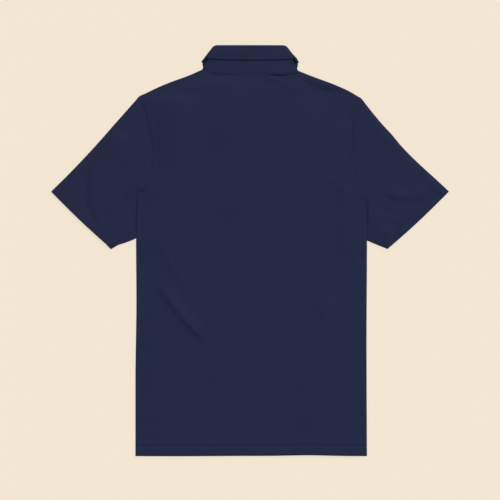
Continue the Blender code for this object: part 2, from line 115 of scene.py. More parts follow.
# Sleeves: top fold below the shoulder tip, and underarm from inside the body, both to the cuff
SLEEVE_FOLD = {
    "left": ((0.25, 0.2764), (0.3142, 0.2044), (0.3596, 0.1564), (0.398, 0.1184)),
    "right": ((0.245, 0.2764), (0.3074, 0.2044), (0.3566, 0.1564), (0.398, 0.1184)),
}
SLEEVE_UNDER = {
    "left": (
        (0.202, 0.085), (0.2045, 0.06), (0.211, 0.041),
        (0.2225, 0.0285), (0.243, 0.0188), (0.277, 0.0034),
    ),
    "right": (
        (0.2098, 0.075), (0.2125, 0.053), (0.219, 0.035),
        (0.23, 0.0225), (0.241, 0.0172), (0.275, 0.0034),
    ),
}
ARMHOLE_GAP = 0.00008
SLEEVE_TIP_GAP = 0.0004
SLEEVE_HEIGHT = LAYER + SOLID

# Where a sleeve goes under the body, and how far below there it still lies as high beside the body
SLEEVE_LEAVES = {"left": 0.1192, "right": 0.1044}
SLEEVE_HOOK = 0.0045

# Share of its relief that a sleeve keeps at the body's edge, how far off it has all of it, and how
# far under the body it has lost it
SLEEVE_CLEAR = {"left": (0.0, 0.006), "right": (0.4, 0.004)}
CLEAR_UNDER = 0.004

# A sleeve under the body: share of its height that it keeps, and how far in it is pressed so
TUCK_SHARE = 0.56
TUCK_SLOPE = 0.005

# A sleeve at its seam: over what height it rises to the seam, how far out that fades, over what
# width it shows, and the width and the share of the turned-in seam
SEAM_CLIMB = 0.006
SEAM_FADE = 0.015
SEAM_SHOWN = 0.002
SEAM_TUCK = 0.0016
SEAM_NARROW = 0.25

# Collar: two nested turns at the side of the neck, stand inside and leaf outside
STAND_RADIUS = 0.00095
LEAF_RADIUS = 0.00265
COLLAR_LIFT = 0.00005
COLLAR_MIDDLE = COLLAR_LIFT + SOLID / 2 + LEAF_RADIUS
COLLAR_END_OUT = 0.0025

# Collar from the centre of the back (turn 0) past the side of the neck (90) to its front end:
# turn, fold out and up, free edge of the leaf out and up, and how far that edge stands off
COLLAR = (
    (0.0, 0.0, 0.40935, 0.0, 0.3816, 0.0009),
    (22.0, 0.0265, 0.40935, 0.0345, 0.3818, 0.0009),
    (45.0, 0.05, 0.4093, 0.066, 0.3828, 0.0009),
    (68.0, 0.0665, 0.4092, 0.0862, 0.384, 0.0006),
    (90.0, 0.0712, 0.4072, 0.093, 0.3772, 0.0),
    (92.5, 0.0711, 0.4052, 0.0951, 0.3746, 0.0),
    (96.0, 0.0706, 0.402, 0.0951, 0.3704, 0.0),
    (100.0, 0.0695, 0.398, 0.094, 0.366, 0.0),
    (115.0, 0.064, 0.38, 0.092, 0.343, 0.0),
    (135.0, 0.048, 0.347, 0.081, 0.309, 0.0),
    (158.0, 0.024, 0.318, 0.064, 0.27, 0.0),
    (180.0, 0.0025, 0.306, 0.046, 0.247, 0.0),
)
LEAF_CROWN = 0.0008

# The collar turns over from the side of the neck to this turn, and its creases fade before there
COLLAR_FRONT_TURN = 92.5
CREASE_FADE_TURN = 12.0

# Seam allowance of the collar under the back's neck edge: rows on the way to the fold, and its drop
TUCK_PARTS = (-0.06, -0.03, -0.012)
TUCK_DROP = 0.0003

# How deep the neck seam lies along the back (x, depth), how much deeper the collar's side of it is
# and how far up the collar it is felt, and how much wider the back's side is for each metre of depth
NECK_DIPS = (
    (-0.095, 0.0001), (-0.08, 0.0003), (-0.07, 0.0009), (-0.056, 0.0012), (-0.043, 0.0006),
    (-0.02, 0.0001), (0.02, 0.0001), (0.04, 0.0007), (0.048, 0.0017), (0.06, 0.0021),
    (0.072, 0.0017), (0.082, 0.0008), (0.09, 0.0001),
)
NECK_DIP_COLLAR = 0.0002
NECK_DIP_REACH = 0.0035
NECK_DIP_WIDTH = 3.5

# Placket and buttons
PLACKET_WIDTH = 0.03
PLACKET_UNDER_WIDTH = 0.032
PLACKET_TAIL = 0.006
SLIT_OUT = PLACKET_WIDTH / 2 + SEAM_GAP
BUTTON_THICKNESS = 0.002
BUTTON_SHANK = 0.0004
BUTTON_DISH = 0.0006
BUTTON_HOLE_RADIUS = 0.0009
BUTTON_HOLE_OUT = 0.0018
BUTTON_UPS = (0.256, 0.201, 0.146)
BUTTONHOLE_LENGTH = 0.015
BUTTONHOLE_WIDTH = 0.0022
BUTTONHOLE_SLIT = 0.0003
BUTTONHOLE_STITCHES = 42

# Half of a button's section, from the middle of its dished face over the rim to the back: out, height
BUTTON_SECTION = (
    (0.0, BUTTON_DISH), (0.00295, BUTTON_DISH), (0.00375, 0.00045), (0.00435, 0.0001),
    (0.00485, 0.0), (0.00545, 0.00015), (0.00575, 0.0006), (0.00575, 0.0013),
    (0.00535, 0.0018), (0.00455, BUTTON_THICKNESS), (0.0, BUTTON_THICKNESS),
)

# Hems: distances of the two rows of stitches from the edge, the thicker band up to the first and
# its slope, its rounded edge, and the share of all this that a cuff has
HEM_ROWS = (0.0188, 0.022)
HEM_RISE = 0.0007
HEM_SLOPE = 0.004
HEM_EDGE_DROP = 0.0007
HEM_EDGE_REACH = 0.003
CUFF_SHARE = 0.28
CUFF_BULGE = 0.002

# Sunken rows of stitches
GROOVE_DEPTH = 0.0003
GROOVE_SPREAD = 0.0007

# Rolls along an edge: height, distance from it, spread. The armhole's grows between two heights
HEM_ROLL = (0.0009, HEM_ROWS[1] + 0.0026, 0.0021)
FOLD_ROLL = (0.0008, 0.008, 0.006)
ARMHOLE_ROLL = (0.0006, 0.0034, 0.0019)
ARMHOLE_ROLL_UPS = (0.15, 0.26)

# Puckers across seams (height, length, reach), what makes them uneven (share, times their length,
# phase), and how much a hem's lean
HEM_PUCKERS = (0.00012, 0.0085, 0.0065)
ARMHOLE_PUCKERS = (0.00018, 0.011, 0.008)
PUCKER_DRIFTS = ((0.31, 3.7, 0.0), (0.23, 5.3, 1.7))
HEM_LEAN = 0.4

# Rounding of the body's folded edges, and of the seams that lie flat; share of the shoulder's
# length over which the neck's seam becomes its fold
FOLD_REACH = 0.002
SEAM_REACH = 0.0011
SEAM_DIP = 0.0003
NECK_CORNER = 0.06

# Loft of the cloth, and how far from the edges the loft, the waves and the creases are whole
BACK_PUFF = 0.0014
BACK_REACHES = (0.03, 0.04, 0.008)
SLEEVE_PUFF = 0.0011
SLEEVE_REACHES = (0.012, 0.03, 0.01)
FRONT_CREASE_REACH = 0.012

# How far from the body a sleeve's loft is whole, and a low step along the body (height, slope)
PUFF_BESIDE = 0.02
STEP_BESIDE = (0.0005, 0.0045)

# Slow waves: height, waves for each metre across and up, phase
WAVES = (
    (0.00022, 6.1, 2.3, 0.4),
    (0.00018, -3.7, 5.9, 2.1),
    (0.00012, 9.7, -4.9, 4.4),
    (0.00008, 2.9, 13.1, 1.2),
)

# Seam allowances inside, which show as a low step beside each seam, and how its height varies
ALLOWANCE_WIDTH = 0.009
ALLOWANCE_SLOPE = 0.0024
ALLOWANCE_RISE = 0.00055
ALLOWANCE_UNEVEN = 0.25
ALLOWANCE_WAVES = (41.0, 67.0)

# Threads: radius, length and gap of a stitch, places and widths of its rings, and how deep it lies
THREAD = 0.00022
STITCH = 0.0026
STITCH_GAP = 0.0007
STITCH_RINGS = ((0.12, 0.8), (0.5, 1.0), (0.88, 0.8))
STITCH_SIDES = 6
STITCH_SINK = 0.7

# Rows of stitches: how far they keep from the ends of their line, and from the edge they follow
HEM_ROW_END = 0.002
CUFF_ROW_END = 0.003
LEAF_ROW_OFF = 0.005
LEAF_ROW_SHARE = 0.985
LEAF_ROW_TURN = 84.0
NECK_ROW_OFF = 0.0022
NECK_ROW_SHARE = 0.98
PLACKET_ROW_OFF = 0.002
PLACKET_ROW_END = 0.003
PLACKET_BOX = 0.6 * PLACKET_WIDTH

# Camera: 2 mm of shirt for each pixel of a frame of 500
FRAME_WIDTH = 1.0
FRAME_MIDDLE_UP = 0.0014
LENS_MM = 100.0
SENSOR_MM = 36.0

# Light: glowing paper, an even sky, and a broad lamp at the top right
PAPER_GLOW = 0.85
FLOOR_RADIUS = 60.0
FLOOR_DROP = 0.0002
SKY_STRENGTH = 0.48
LAMP_STRENGTH = 2.3
LAMP_ANGLE = 26.0
LAMP_RISE = 45.0
LAMP_TURN = 60.0

# Colours
NAVY = (0.0136, 0.0196, 0.0535)
THREAD_NAVY = (0.015, 0.021, 0.053)
BUTTON_NAVY = (0.012, 0.0155, 0.036)
PAPER = (0.896, 0.791, 0.651)

# Knit: width and height of a loop, and the weave between the collar's rows and between its columns
WALE = 0.0011
COURSE = 0.0009
COLLAR_WEAVE = (0.0035, 0.0022)

# Meshes: steps over half of the neck, cells of the panels and of the slit on either side, steps
# along an armhole and across a sleeve, and lines close together at the body's edge, at a hem's
# stitches, over a cuff and at a placket's edges
TURNS = 36
FRONT_TURNS = 32
BACK_CELL = 0.0033
FRONT_CELL = 0.0045
SLIT_CELLS = 2
SLEEVE_STEPS = 56
EDGE_OFFS = (0.0, 0.00015, 0.0006, 0.0012, 0.002, 0.003, 0.0044, 0.006, 0.0076, 0.009, 0.0104, 0.0125)
HEM_FINE = [row + step * 0.0004 for row in HEM_ROWS for step in range(-4, 5)]
CUFF_ZONE = 0.03
PLACKET_FINE = (0.44, 0.46, 0.48)
WELD = 0.00001

# Body's mesh beside and below the shoulder, and the neck's share of its width at the hem
SHOULDER_WIDTH = 0.132
SHOULDER_HEIGHT = 0.22
NECK_SHARE = 0.41

# Cut of each piece of cloth by its solid: width, length, and area where it isn't a rectangle
FLATS = {
    "back": (0.463, 0.762, 0.331),
    "front": (0.463, 0.716, 0.322),
    "collar": (0.52, 0.072, 0.036),
    "placket_top": (PLACKET_WIDTH, 0.16, None),
    "placket_under": (PLACKET_UNDER_WIDTH, 0.166, None),
    "sleeve_left": (0.4, 0.26, 0.068),
    "sleeve_right": (0.4, 0.26, 0.068),
}

# ------------------------ how the shirt lies

# What holds the layers up: the collar, the placket with its buttons, and the sleeves' tucked ends
# (middle, half the width and length, height, width of the slope round it)
COLLAR_FLOOR = COLLAR_MIDDLE - STAND_RADIUS - SOLID / 2
COLLAR_CEILING = COLLAR_MIDDLE + STAND_RADIUS - SOLID / 2
TUCK_FLOOR = 0.0018
FRONT_LIFTS = (
    (0.0, 0.31, 0.1, 0.07, COLLAR_FLOOR, 0.04),
    (0.0, 0.1995, 0.018, 0.0645, BUTTON_THICKNESS + BUTTON_SHANK, 0.028),
    (-0.2165, 0.085, 0.0235, 0.067, TUCK_FLOOR, 0.03),
    (0.2225, 0.089, 0.0225, 0.077, TUCK_FLOOR, 0.03),
)
BACK_LIFTS = (
    (0.0, 0.31, 0.108, 0.065, COLLAR_CEILING - LAYER, 0.095),
    (0.0, 0.21, 0.02, 0.06, 0.0018, 0.12),
    (-0.2165, 0.085, 0.0275, 0.071, TUCK_FLOOR, 0.03),
    (0.2225, 0.089, 0.0265, 0.081, TUCK_FLOOR, 0.03),
)

# Small moves of the outline, which fade off: place, reach, how far across and up
SHIFTS = (
    # left shoulder: along its line, beyond its tip, at the neck and at its tip
    (-0.16, 0.335, 0.06, 0.0, 0.0009),
    (-0.236, 0.294, 0.012, 0.0, 0.0009),
    (-0.097, 0.361, 0.012, 0.0, 0.0013),
    (-0.2205, 0.307, 0.008, 0.0, 0.0022),
    # collar's right side, and the neck seam below it
    (0.093, 0.386, 0.0045, 0.0022, 0.0),
    (0.0945, 0.37, 0.0045, 0.0008, 0.0),
    (0.066, 0.352, 0.013, 0.0, -0.0018),
    # right shoulder tip, and two places of the right sleeve's fold
    (0.212, 0.31, 0.008, 0.0, -0.0008),
    (0.284, 0.234, 0.014, 0.0008, 0.0011),
    (0.372, 0.14, 0.02, 0.0005, 0.0005),
    # left cuff's lower corner and the underarm beside it
    (-0.279, 0.004, 0.006, -0.001, -0.0006),
    (-0.264, 0.01, 0.007, 0.0, 0.0018),
    (-0.236, 0.022, 0.008, 0.0, -0.001),
    # hem
    (0.118, -0.411, 0.045, 0.0, 0.0017),
    (-0.01, -0.411, 0.05, 0.0, 0.0005),
)

# Creases: start, end, sideways bow, height, spreads of the steep side and of the gentle one. Seen
# from its start a crease is steep on its left. A negative height makes it a trough. It fades over
# this share of its length at either end.
FADE = 0.22

BACK_CREASES = (
    # left side, from the large diagonal one up
    (-0.099, -0.1724, -0.1756, -0.078, -0.0026, 0.0042, 0.0043, 0.01),
    (-0.1354, -0.0614, -0.1856, 0.033, -0.0036, 0.0013, 0.005, 0.0062),
    (-0.084, -0.0378, -0.106, -0.0246, 0.001, 0.001, 0.004, 0.006),
    # right side, from the armpit down
    (0.2, 0.1084, 0.129, 0.1654, -0.002, 0.001, 0.003, 0.008),
    (0.208, 0.096, 0.15, 0.146, -0.002, -0.0005, 0.004, 0.004),
    (0.1642, -0.1014, 0.141, -0.1254, 0.002, 0.002, 0.005, 0.01),
    (0.222, -0.04, 0.21, -0.016, 0.002, 0.0014, 0.004, 0.006),
    (0.112, -0.282, 0.1, -0.26, 0.002, 0.0006, 0.003, 0.006),
    (0.101, -0.318, 0.096, -0.295, 0.001, 0.0005, 0.003, 0.005),
    # right shoulder
    (0.108, 0.335, 0.173, 0.314, 0.002, -0.0034, 0.0046, 0.024),
    # under the collar, right and left
    (0.056, 0.34, 0.038, 0.349, 0.0, 0.0019, 0.0045, 0.006),
    (0.112, 0.315, 0.06, 0.337, 0.0, 0.0011, 0.005, 0.007),
    (-0.108, 0.325, -0.13, 0.324, 0.0, 0.0012, 0.005, 0.006),
    # at the armholes
    (-0.196, 0.258, -0.176, 0.246, 0.001, -0.0005, 0.0024, 0.003),
    (-0.198, 0.12, -0.15, 0.15, 0.004, 0.0009, 0.0036, 0.009),
    (0.194, 0.205, 0.1935, 0.256, 0.0, 0.0013, 0.02, 0.006),
)

# Soft rises of the back below the left shoulder and the left of the neck: top, height, and spreads
# across, towards the collar and towards the hem
BACK_SWELLS = (
    (-0.148, 0.2915, 0.0068, 0.029, 0.012, 0.13),
    (-0.048, 0.3265, 0.0042, 0.03, 0.01, 0.09),
)

FRONT_CREASES = (
    (-0.19, -0.02, -0.1, -0.12, 0.01, 0.0012, 0.006, 0.011),
    (0.186, 0.01, 0.112, -0.092, -0.008, 0.0012, 0.006, 0.011),
    (-0.15, 0.19, -0.08, 0.13, 0.006, 0.001, 0.006, 0.01),
    (0.152, 0.205, 0.086, 0.146, -0.005, 0.0009, 0.006, 0.01),
    (0.07, -0.24, 0.104, -0.33, 0.006, 0.0008, 0.006, 0.009),
    (-0.06, -0.2, -0.088, -0.3, -0.005, 0.0008, 0.006, 0.009),
)

# Creases of the sleeves' upper layers
SLEEVE_CREASES = {
    "left": (
        (-0.3202, 0.1594, -0.313, 0.0654, 0.012, -0.0026, 0.0042, 0.0075),
        (-0.243, 0.11, -0.268, 0.064, -0.003, -0.0022, 0.005, 0.006),
        (-0.243, 0.034, -0.2445, 0.072, 0.0, 0.0012, 0.005, 0.006),
        (-0.249, 0.2126, -0.283, 0.2326, 0.0, 0.004, 0.03, 0.012),
        (-0.256, 0.174, -0.236, 0.198, 0.0, 0.001, 0.009, 0.008),
        (-0.276, 0.072, -0.272, 0.09, 0.0, 0.0008, 0.006, 0.005),
    ),
    "right": (
        (0.3484, 0.1126, 0.2732, 0.1166, -0.008, 0.0026, 0.0046, 0.009),
        (0.324, 0.0828, 0.29, 0.0828, -0.002, 0.001, 0.004, 0.007),
        (0.2946, 0.0604, 0.2654, 0.0704, 0.0, 0.0012, 0.004, 0.006),
        (0.286, 0.0374, 0.2614, 0.0374, 0.0, 0.0012, 0.005, 0.007),
        (0.2376, 0.062, 0.2374, 0.106, 0.0, 0.0022, 0.005, 0.0044),
        (0.244, 0.08, 0.276, 0.03, 0.0, 0.0026, 0.01, 0.016),
        (0.2625, 0.086, 0.262, 0.104, 0.0, 0.0007, 0.003, 0.004),
        (0.346, 0.126, 0.32, 0.13, 0.0, 0.0014, 0.012, 0.015),
    ),
}

# Creases of the collar's back half, on its stand and its leaf
COLLAR_CREASES = (
    (0.042, 0.357, 0.1, 0.358, 0.0, 0.0022, 0.0055, 0.004),
    (-0.076, 0.357, -0.042, 0.3575, 0.0, 0.0008, 0.006, 0.0036),
    (0.02, 0.369, 0.08, 0.374, 0.002, 0.0004, 0.005, 0.005),
    (-0.06, 0.396, 0.01, 0.393, -0.002, 0.0003, 0.006, 0.006),
)

# ------------------------ numbers and lines


def lerp(start, end, part):
    """Value part of the way from start to end."""
    return start + (end - start) * part


def between(here, there, part):
    """Point part of the way from here to there."""
    return [lerp(start, end, part) for start, end in zip(here, there)]


def smooth(part):
    """Ease from 0 to 1 while part goes from 0 to 1."""
    part = min(max(part, 0.0), 1.0)
    return part * part * (3.0 - 2.0 * part)


def rounded(part):
    """Quarter of a circle, from 0 upright to 1 level, while part goes from 0 to 1."""
    part = min(max(part, 0.0), 1.0)
    return math.sqrt(1.0 - (1.0 - part) ** 2)


def bell(distance, spread):
    """Height of a bell curve at a distance from its middle."""
    return math.exp(-0.5 * (distance / spread) ** 2)


def steps(count, start=0.0, end=1.0):
    """Evenly spaced values from start to end, count steps apart."""
    return [lerp(start, end, k / count) for k in range(count + 1)]


def merged(*lists):
    """Values of several lists in order, without those that nearly repeat the one before."""
    found = []
    for value in sorted(value for values in lists for value in values):
        if not found or value - found[-1] > WELD:
            found.append(value)
    return found


def along_and_off(start, end, x, y):
    """Part of the way along a line, and distance to its right, of a place."""
    run_x, run_y = end[0] - start[0], end[1] - start[1]
    length = math.hypot(run_x, run_y)
    along = ((x - start[0]) * run_x + (y - start[1]) * run_y) / length / length
    return along, ((x - start[0]) * run_y - (y - start[1]) * run_x) / length


class Curve:
    """A smooth line through the values of a table's column, which doesn't overshoot them."""

    def __init__(self, rows, column=1):
        self.keys = [row[0] for row in rows]
        self.values = [row[column] for row in rows]
        self.slopes = [self.slope(k) for k in range(len(rows))]

    def slope(self, k):
        """Slope of the line at key k."""
        near = [
            (self.values[j + 1] - self.values[j]) / (self.keys[j + 1] - self.keys[j])
            for j in (k - 1, k)
            if 0 <= j < len(self.keys) - 1
        ]
        if len(near) == 1:
            return near[0]
        if near[0] * near[1] <= 0.0:
            return 0.0
        return 2.0 * near[0] * near[1] / (near[0] + near[1])

    def at(self, key):
        """Value at a key."""
        key = min(max(key, self.keys[0]), self.keys[-1])
        k = bisect_right(self.keys, key, 1, len(self.keys) - 1) - 1
        span = self.keys[k + 1] - self.keys[k]
        part = (key - self.keys[k]) / span
        bend = self.slopes[k] * (1.0 - part) - self.slopes[k + 1] * part
        straight = lerp(self.values[k], self.values[k + 1], smooth(part))
        return straight + bend * span * part * (1.0 - part)


class Path:
    """A line through points in a plane, read at a fraction of its length."""

    def __init__(self, points):
        lengths = [0.0]
        for here, there in zip(points, points[1:]):
            lengths.append(lengths[-1] + math.dist(here, there))
        self.length = lengths[-1]
        rows = [(length / self.length, *point) for length, point in zip(lengths, points)]
        self.across = Curve(rows, 1)
        self.up = Curve(rows, 2)

    def at(self, fraction):
        """Point at a fraction of the length."""
        return self.across.at(fraction), self.up.at(fraction)


EDGE = {side: Curve(rows) for side, rows in BODY_EDGE.items()}
SHOULDER_PATH = Path(SHOULDER)
SHOULDER_UP = Curve(SHOULDER)
NECK_DIP = Curve(NECK_DIPS)
FOLD_OUT, FOLD_UP, LEAF_OUT, LEAF_UP, LEAF_LIFT = (Curve(COLLAR, column) for column in range(1, 6))

# ------------------------ heights of the layers


def plateau(lift, x, y):
    """Height that one lift gives at a place."""
    middle_x, middle_y, half_x, half_y, height, slope = lift
    beside = max(abs(x - middle_x) - half_x, 0.0)
    beyond = max(abs(y - middle_y) - half_y, 0.0)
    return height * smooth(1.0 - math.hypot(beside, beyond) / slope)


def front_floor(x, y):
    """Height of the outer face of the front panel, which lies towards the ground."""
    return max(plateau(lift, x, y) for lift in FRONT_LIFTS)


def back_ceiling(x, y):
    """Height of the outer face of the back panel, before its creases."""
    return LAYER + SOLID + max(plateau(lift, x, y) for lift in BACK_LIFTS)


def stroke(crease, x, y):
    """Height that one crease gives at a place."""
    *ends, bow, height, steep, gentle = crease
    along, off = along_and_off(ends[:2], ends[2:], x, y)
    if not -FADE < along < 1.0 + FADE:
        return 0.0
    off -= bow * (1.0 - (2.0 * along - 1.0) ** 2)
    share = smooth((along + FADE) / FADE / 2) * smooth((1.0 + FADE - along) / FADE / 2)
    return height * share * bell(off, gentle if off > 0.0 else steep)


def strokes(creases, x, y):
    """Height that all of some creases give at a place."""
    return sum(stroke(crease, x, y) for crease in creases)


def swell(rise, x, y):
    """Height that one soft rise gives at a place."""
    top_x, top_y, height, across, above, below = rise
    return height * bell(x - top_x, across) * bell(y - top_y, above if y > top_y else below)


def waves(x, y):
    """Slow, uneven waves of cloth that lies loosely."""
    turns = [(height, x * across + y * up, phase) for height, across, up, phase in WAVES]
    return sum(height * math.sin(math.tau * turn + phase) for height, turn, phase in turns)


def roll(kind, off):
    """Height of a roll along an edge, at a distance from the edge."""
    height, middle, spread = kind
    return height * bell(off - middle, spread)


def puckers(kind, along, off):
    """Small uneven puckers across a seam, at a place along it and off it."""
    height, length, reach = kind
    turn = along / length
    drift = sum(share * math.sin(math.tau * turn / times + phase) for share, times, phase in PUCKER_DRIFTS)
    return height * math.sin(math.tau * (turn + drift)) * bell(off, reach)


def groove(off):
    """Depth of a sunken row of stitches, at a distance from it."""
    return GROOVE_DEPTH * bell(off, GROOVE_SPREAD)


def grooves(off):
    """Depth of a hem's two rows, at a distance from its edge."""
    return sum(groove(off - row) for row in HEM_ROWS)


def hem_relief(off, along):
    """Turned hem at a distance from its edge: a thicker band, two sunken rows and a roll above."""
    band = HEM_RISE * smooth((HEM_ROWS[0] - off) / HEM_SLOPE)
    uneven = puckers(HEM_PUCKERS, along + HEM_LEAN * off, off - sum(HEM_ROWS) / 2)
    return band - grooves(off) + roll(HEM_ROLL, off) + uneven


def allowance(off, along):
    """Seam allowance felt through the cloth beside a seam."""
    slow, fast = ALLOWANCE_WAVES
    less = ALLOWANCE_UNEVEN * (1.0 - math.sin(along * slow) * math.sin(along * fast + 1.0))
    return ALLOWANCE_RISE * (1.0 - less) * smooth((ALLOWANCE_WIDTH - off) / ALLOWANCE_SLOPE + 0.5)


def settled(x, y):
    """Where a place of the even pattern comes to lie."""
    across, up = x, y
    for middle_x, middle_y, reach, move_x, move_y in SHIFTS:
        share = bell(math.hypot(x - middle_x, y - middle_y), reach)
        across += move_x * share
        up += move_y * share
    return across, up


# ------------------------ outlines of the body


def neck_up(out, neck):
    """Height of a neckline at a distance from the centre line."""
    drop, middle, ends = neck
    return NECK_UP - drop * (1.0 - min(out / NECK_OUT, 1.0) ** middle) ** ends


def neckline(turn):
    """Point of the whole neckline: back centre at 0, side of the neck at 90, front centre at 180."""
    out = NECK_OUT * math.sin(math.radians(turn))
    return out, neck_up(out, BACK_NECK if turn <= 90.0 else FRONT_NECK)


def across_neck(turn):
    """Direction across the neckline, into the collar."""
    if turn == 90.0:
        total = [sum(pair) for pair in zip(across_neck(89.0), across_neck(91.0))]
        return [part / math.hypot(*total) for part in total]
    before = neckline(max(turn - 0.5, 0.0))
    after = neckline(min(turn + 0.5, 180.0))
    run = math.copysign(math.dist(before, after), 90.0 - turn)
    return (before[1] - after[1]) / run, (after[0] - before[0]) / run


def neck_seam(turn):
    """Point where the collar starts: the neckline, moved a seam's gap into the collar."""
    return [place + SEAM_GAP * part for place, part in zip(neckline(turn), across_neck(turn))]


class Column(NamedTuple):
    """A line of a panel's mesh from the hem to the neck or shoulder, on one side.

    Weight is 0 up to the neck point and 1 at the body's edge, and off is the distance from there.
    """

    side: str
    share: float
    weight: float
    off: float
    top_out: float


class Row(NamedTuple):
    """A line of a panel's mesh across the body: its height at the edge, and how far below the top."""

    up: float
    off: float


def half_columns(side, turns, cell):
    """Columns from the centre line to the edge on one side."""
    outs = [NECK_OUT * math.sin(math.radians(turn)) for turn in turns]
    neck = [Column(side, NECK_SHARE * out / NECK_OUT, 0.0, 1.0, out) for out in outs]
    plain = steps(round((SHOULDER_WIDTH - EDGE_OFFS[-1]) / cell), EDGE_OFFS[-1], SHOULDER_WIDTH)[:-1]
    shoulder = []
    for off in sorted((*EDGE_OFFS[:-1], *plain), reverse=True):
        weight = 1.0 - off / SHOULDER_WIDTH
        top_out = SHOULDER_PATH.at(weight)[0]
        shoulder.append(Column(side, lerp(NECK_SHARE, 1.0, weight), weight, off, top_out))
    return neck + shoulder


def panel_columns(turns, cell):
    """All columns of a panel, from its left edge to its right edge."""
    return half_columns("left", turns, cell)[:0:-1] + half_columns("right", turns, cell)


def panel_rows(cell):
    """Rows of a panel, close together at the hem's stitches and at the shoulder."""
    plain = steps(round((CHEST_UP - HEM_UP) / cell), HEM_UP, CHEST_UP)
    fine = [HEM_UP + off for off in HEM_FINE]
    lower = [Row(up, 1.0) for up in merged(fine, plain) if up < CHEST_UP - WELD]
    offs = merged(steps(round(SHOULDER_HEIGHT / cell), 0.0, SHOULDER_HEIGHT), EDGE_OFFS)
    upper = [Row(lerp(TIP_UP, CHEST_UP, off / SHOULDER_HEIGHT), off) for off in reversed(offs)]
    return lower + upper


def panel_point(column, row, neck):
    """Place of a panel's point, seen from above."""
    edge = EDGE[column.side]
    hem, chest = edge.at(HEM_UP), edge.at(CHEST_UP)
    if column.weight == 0.0:
        chest_out, top_up = column.top_out, neck_up(column.top_out, neck)
    else:
        chest_out, top_up = lerp(NECK_OUT, chest, column.weight), SHOULDER_PATH.at(column.weight)[1]
    if row.up <= CHEST_UP:
        part = (row.up - HEM_UP) / (CHEST_UP - HEM_UP)
        out, up = lerp(hem * column.share, chest_out, part), row.up
        straight = lerp(hem, chest, part)
    else:
        part = (row.up - CHEST_UP) / (TIP_UP - CHEST_UP)
        out, up = lerp(chest_out, column.top_out, part), lerp(CHEST_UP, top_up, part)
        straight = lerp(chest, TIP_OUT, part)
    return SIGN[column.side] * (out + column.weight * (edge.at(row.up) - straight)), up


def edge_distance(x, y, neck):
    """Rough distance of a place on the body from its panel's nearest edge, other than the hem."""
    side = "left" if x < 0.0 else "right"
    out = abs(x)
    top = SHOULDER_UP.at(out) if out > NECK_OUT else neck_up(out, neck)
    return min(EDGE[side].at(y) - out, top - y)


# ------------------------ meshes and objects


def grid_spot(place, wide, high):
    """Column and row of a place in a grid that reaches from -1 to 1."""
    return (place.x + 1.0) / 2.0 * wide, (place.y + 1.0) / 2.0 * high


def flat_weave(column, row, place):
    """Weave that runs straight up the shirt."""
    return place.x, place.y


def mapped_grid(columns, rows, place, weave=flat_weave, closed=False, keep=None):
    """A grid whose points are placed from their column and row, with the weave's place in its UVs.

    Closed joins its first and last columns, and keep chooses the faces that stay.
    """
    mesh = bmesh.new()
    wide, high = len(columns) - 1, len(rows) - 1
    bmesh.ops.create_grid(mesh, x_segments=wide, y_segments=high, size=1.0)
    if keep is not None:
        spots = [(face, grid_spot(face.calc_center_median(), wide, high)) for face in mesh.faces]
        spare = [face for face, (column, row) in spots if not keep(int(column), int(row))]
        bmesh.ops.delete(mesh, geom=spare, context="FACES")
    mesh.verts.index_update()
    threads = []
    for point in mesh.verts:
        column, row = (round(part) for part in grid_spot(point.co, wide, high))
        x, y, height = place(columns[column], rows[row])
        point.co = (*settled(x, y), height)
        threads.append(weave(column, row, point.co))
    layer = mesh.loops.layers.uv.new("weave")
    for face in mesh.faces:
        for corner in face.loops:
            corner[layer].uv = threads[corner.vert.index]
    if closed:
        bmesh.ops.remove_doubles(mesh, verts=mesh.verts, dist=WELD)
    return mesh


def add_object(name, data):
    """A new object in the scene."""
    item = bpy.data.objects.new(name, data)
    bpy.context.scene.collection.objects.link(item)
    return item


def new_piece(name, mesh, surface):
    """A shown piece of the shirt, made from a mesh."""
    data = bpy.data.meshes.new(name)
    mesh.to_mesh(data)
    mesh.free()
    data.materials.append(surface)
    data.shade_smooth()
    item = add_object(name, data)
    return item


def cloth(name, mesh, surface, thickness, offset=-1.0):
    """A piece of cloth with its thickness and rounded rims, and what rays find of its face."""
    tree = BVHTree.FromBMesh(mesh)
    item = new_piece(name, mesh, surface)
    wall = item.modifiers.new("cloth", "SOLIDIFY")
    wall.thickness = thickness
    wall.offset = offset
    rim = item.modifiers.new("rim", "BEVEL")
    rim.width = thickness * 0.3
    rim.segments = 2
    rim.limit_method = "ANGLE"
    rim.angle_limit = math.radians(60.0)
    return item, tree


# ------------------------ body


def side_fall(column, up, dip):
    """Share of its rise that a panel loses near the body's edge: at a fold below, at a seam above."""
    start, end = ARMPIT_UP[column.side]
    sewn = smooth((up - start) / (end - start))
    reach = lerp(FOLD_REACH, SEAM_REACH, sewn)
    return lerp(1.0, dip, sewn) * (1.0 - rounded(column.off / reach))


def top_fall(column, off, dip, seam_reach):
    """The same near the shoulder, which is a fold, and near the neckline, which is a seam."""
    fold = smooth(column.weight / NECK_CORNER)
    return lerp(dip, 1.0, fold) * (1.0 - rounded(off / lerp(seam_reach, FOLD_REACH, fold)))


def panel_height(column, row, face, behind, neck_dip):
    """Height of a panel's outer face, which falls towards the face behind it at its edges."""
    rise = (face - behind) / 2
    side = side_fall(column, row.up, SEAM_DIP / abs(rise))
    top = top_fall(column, row.off, neck_dip / abs(rise), SEAM_REACH + NECK_DIP_WIDTH * neck_dip)
    return face - rise + rise * (1.0 - side) * (1.0 - top)


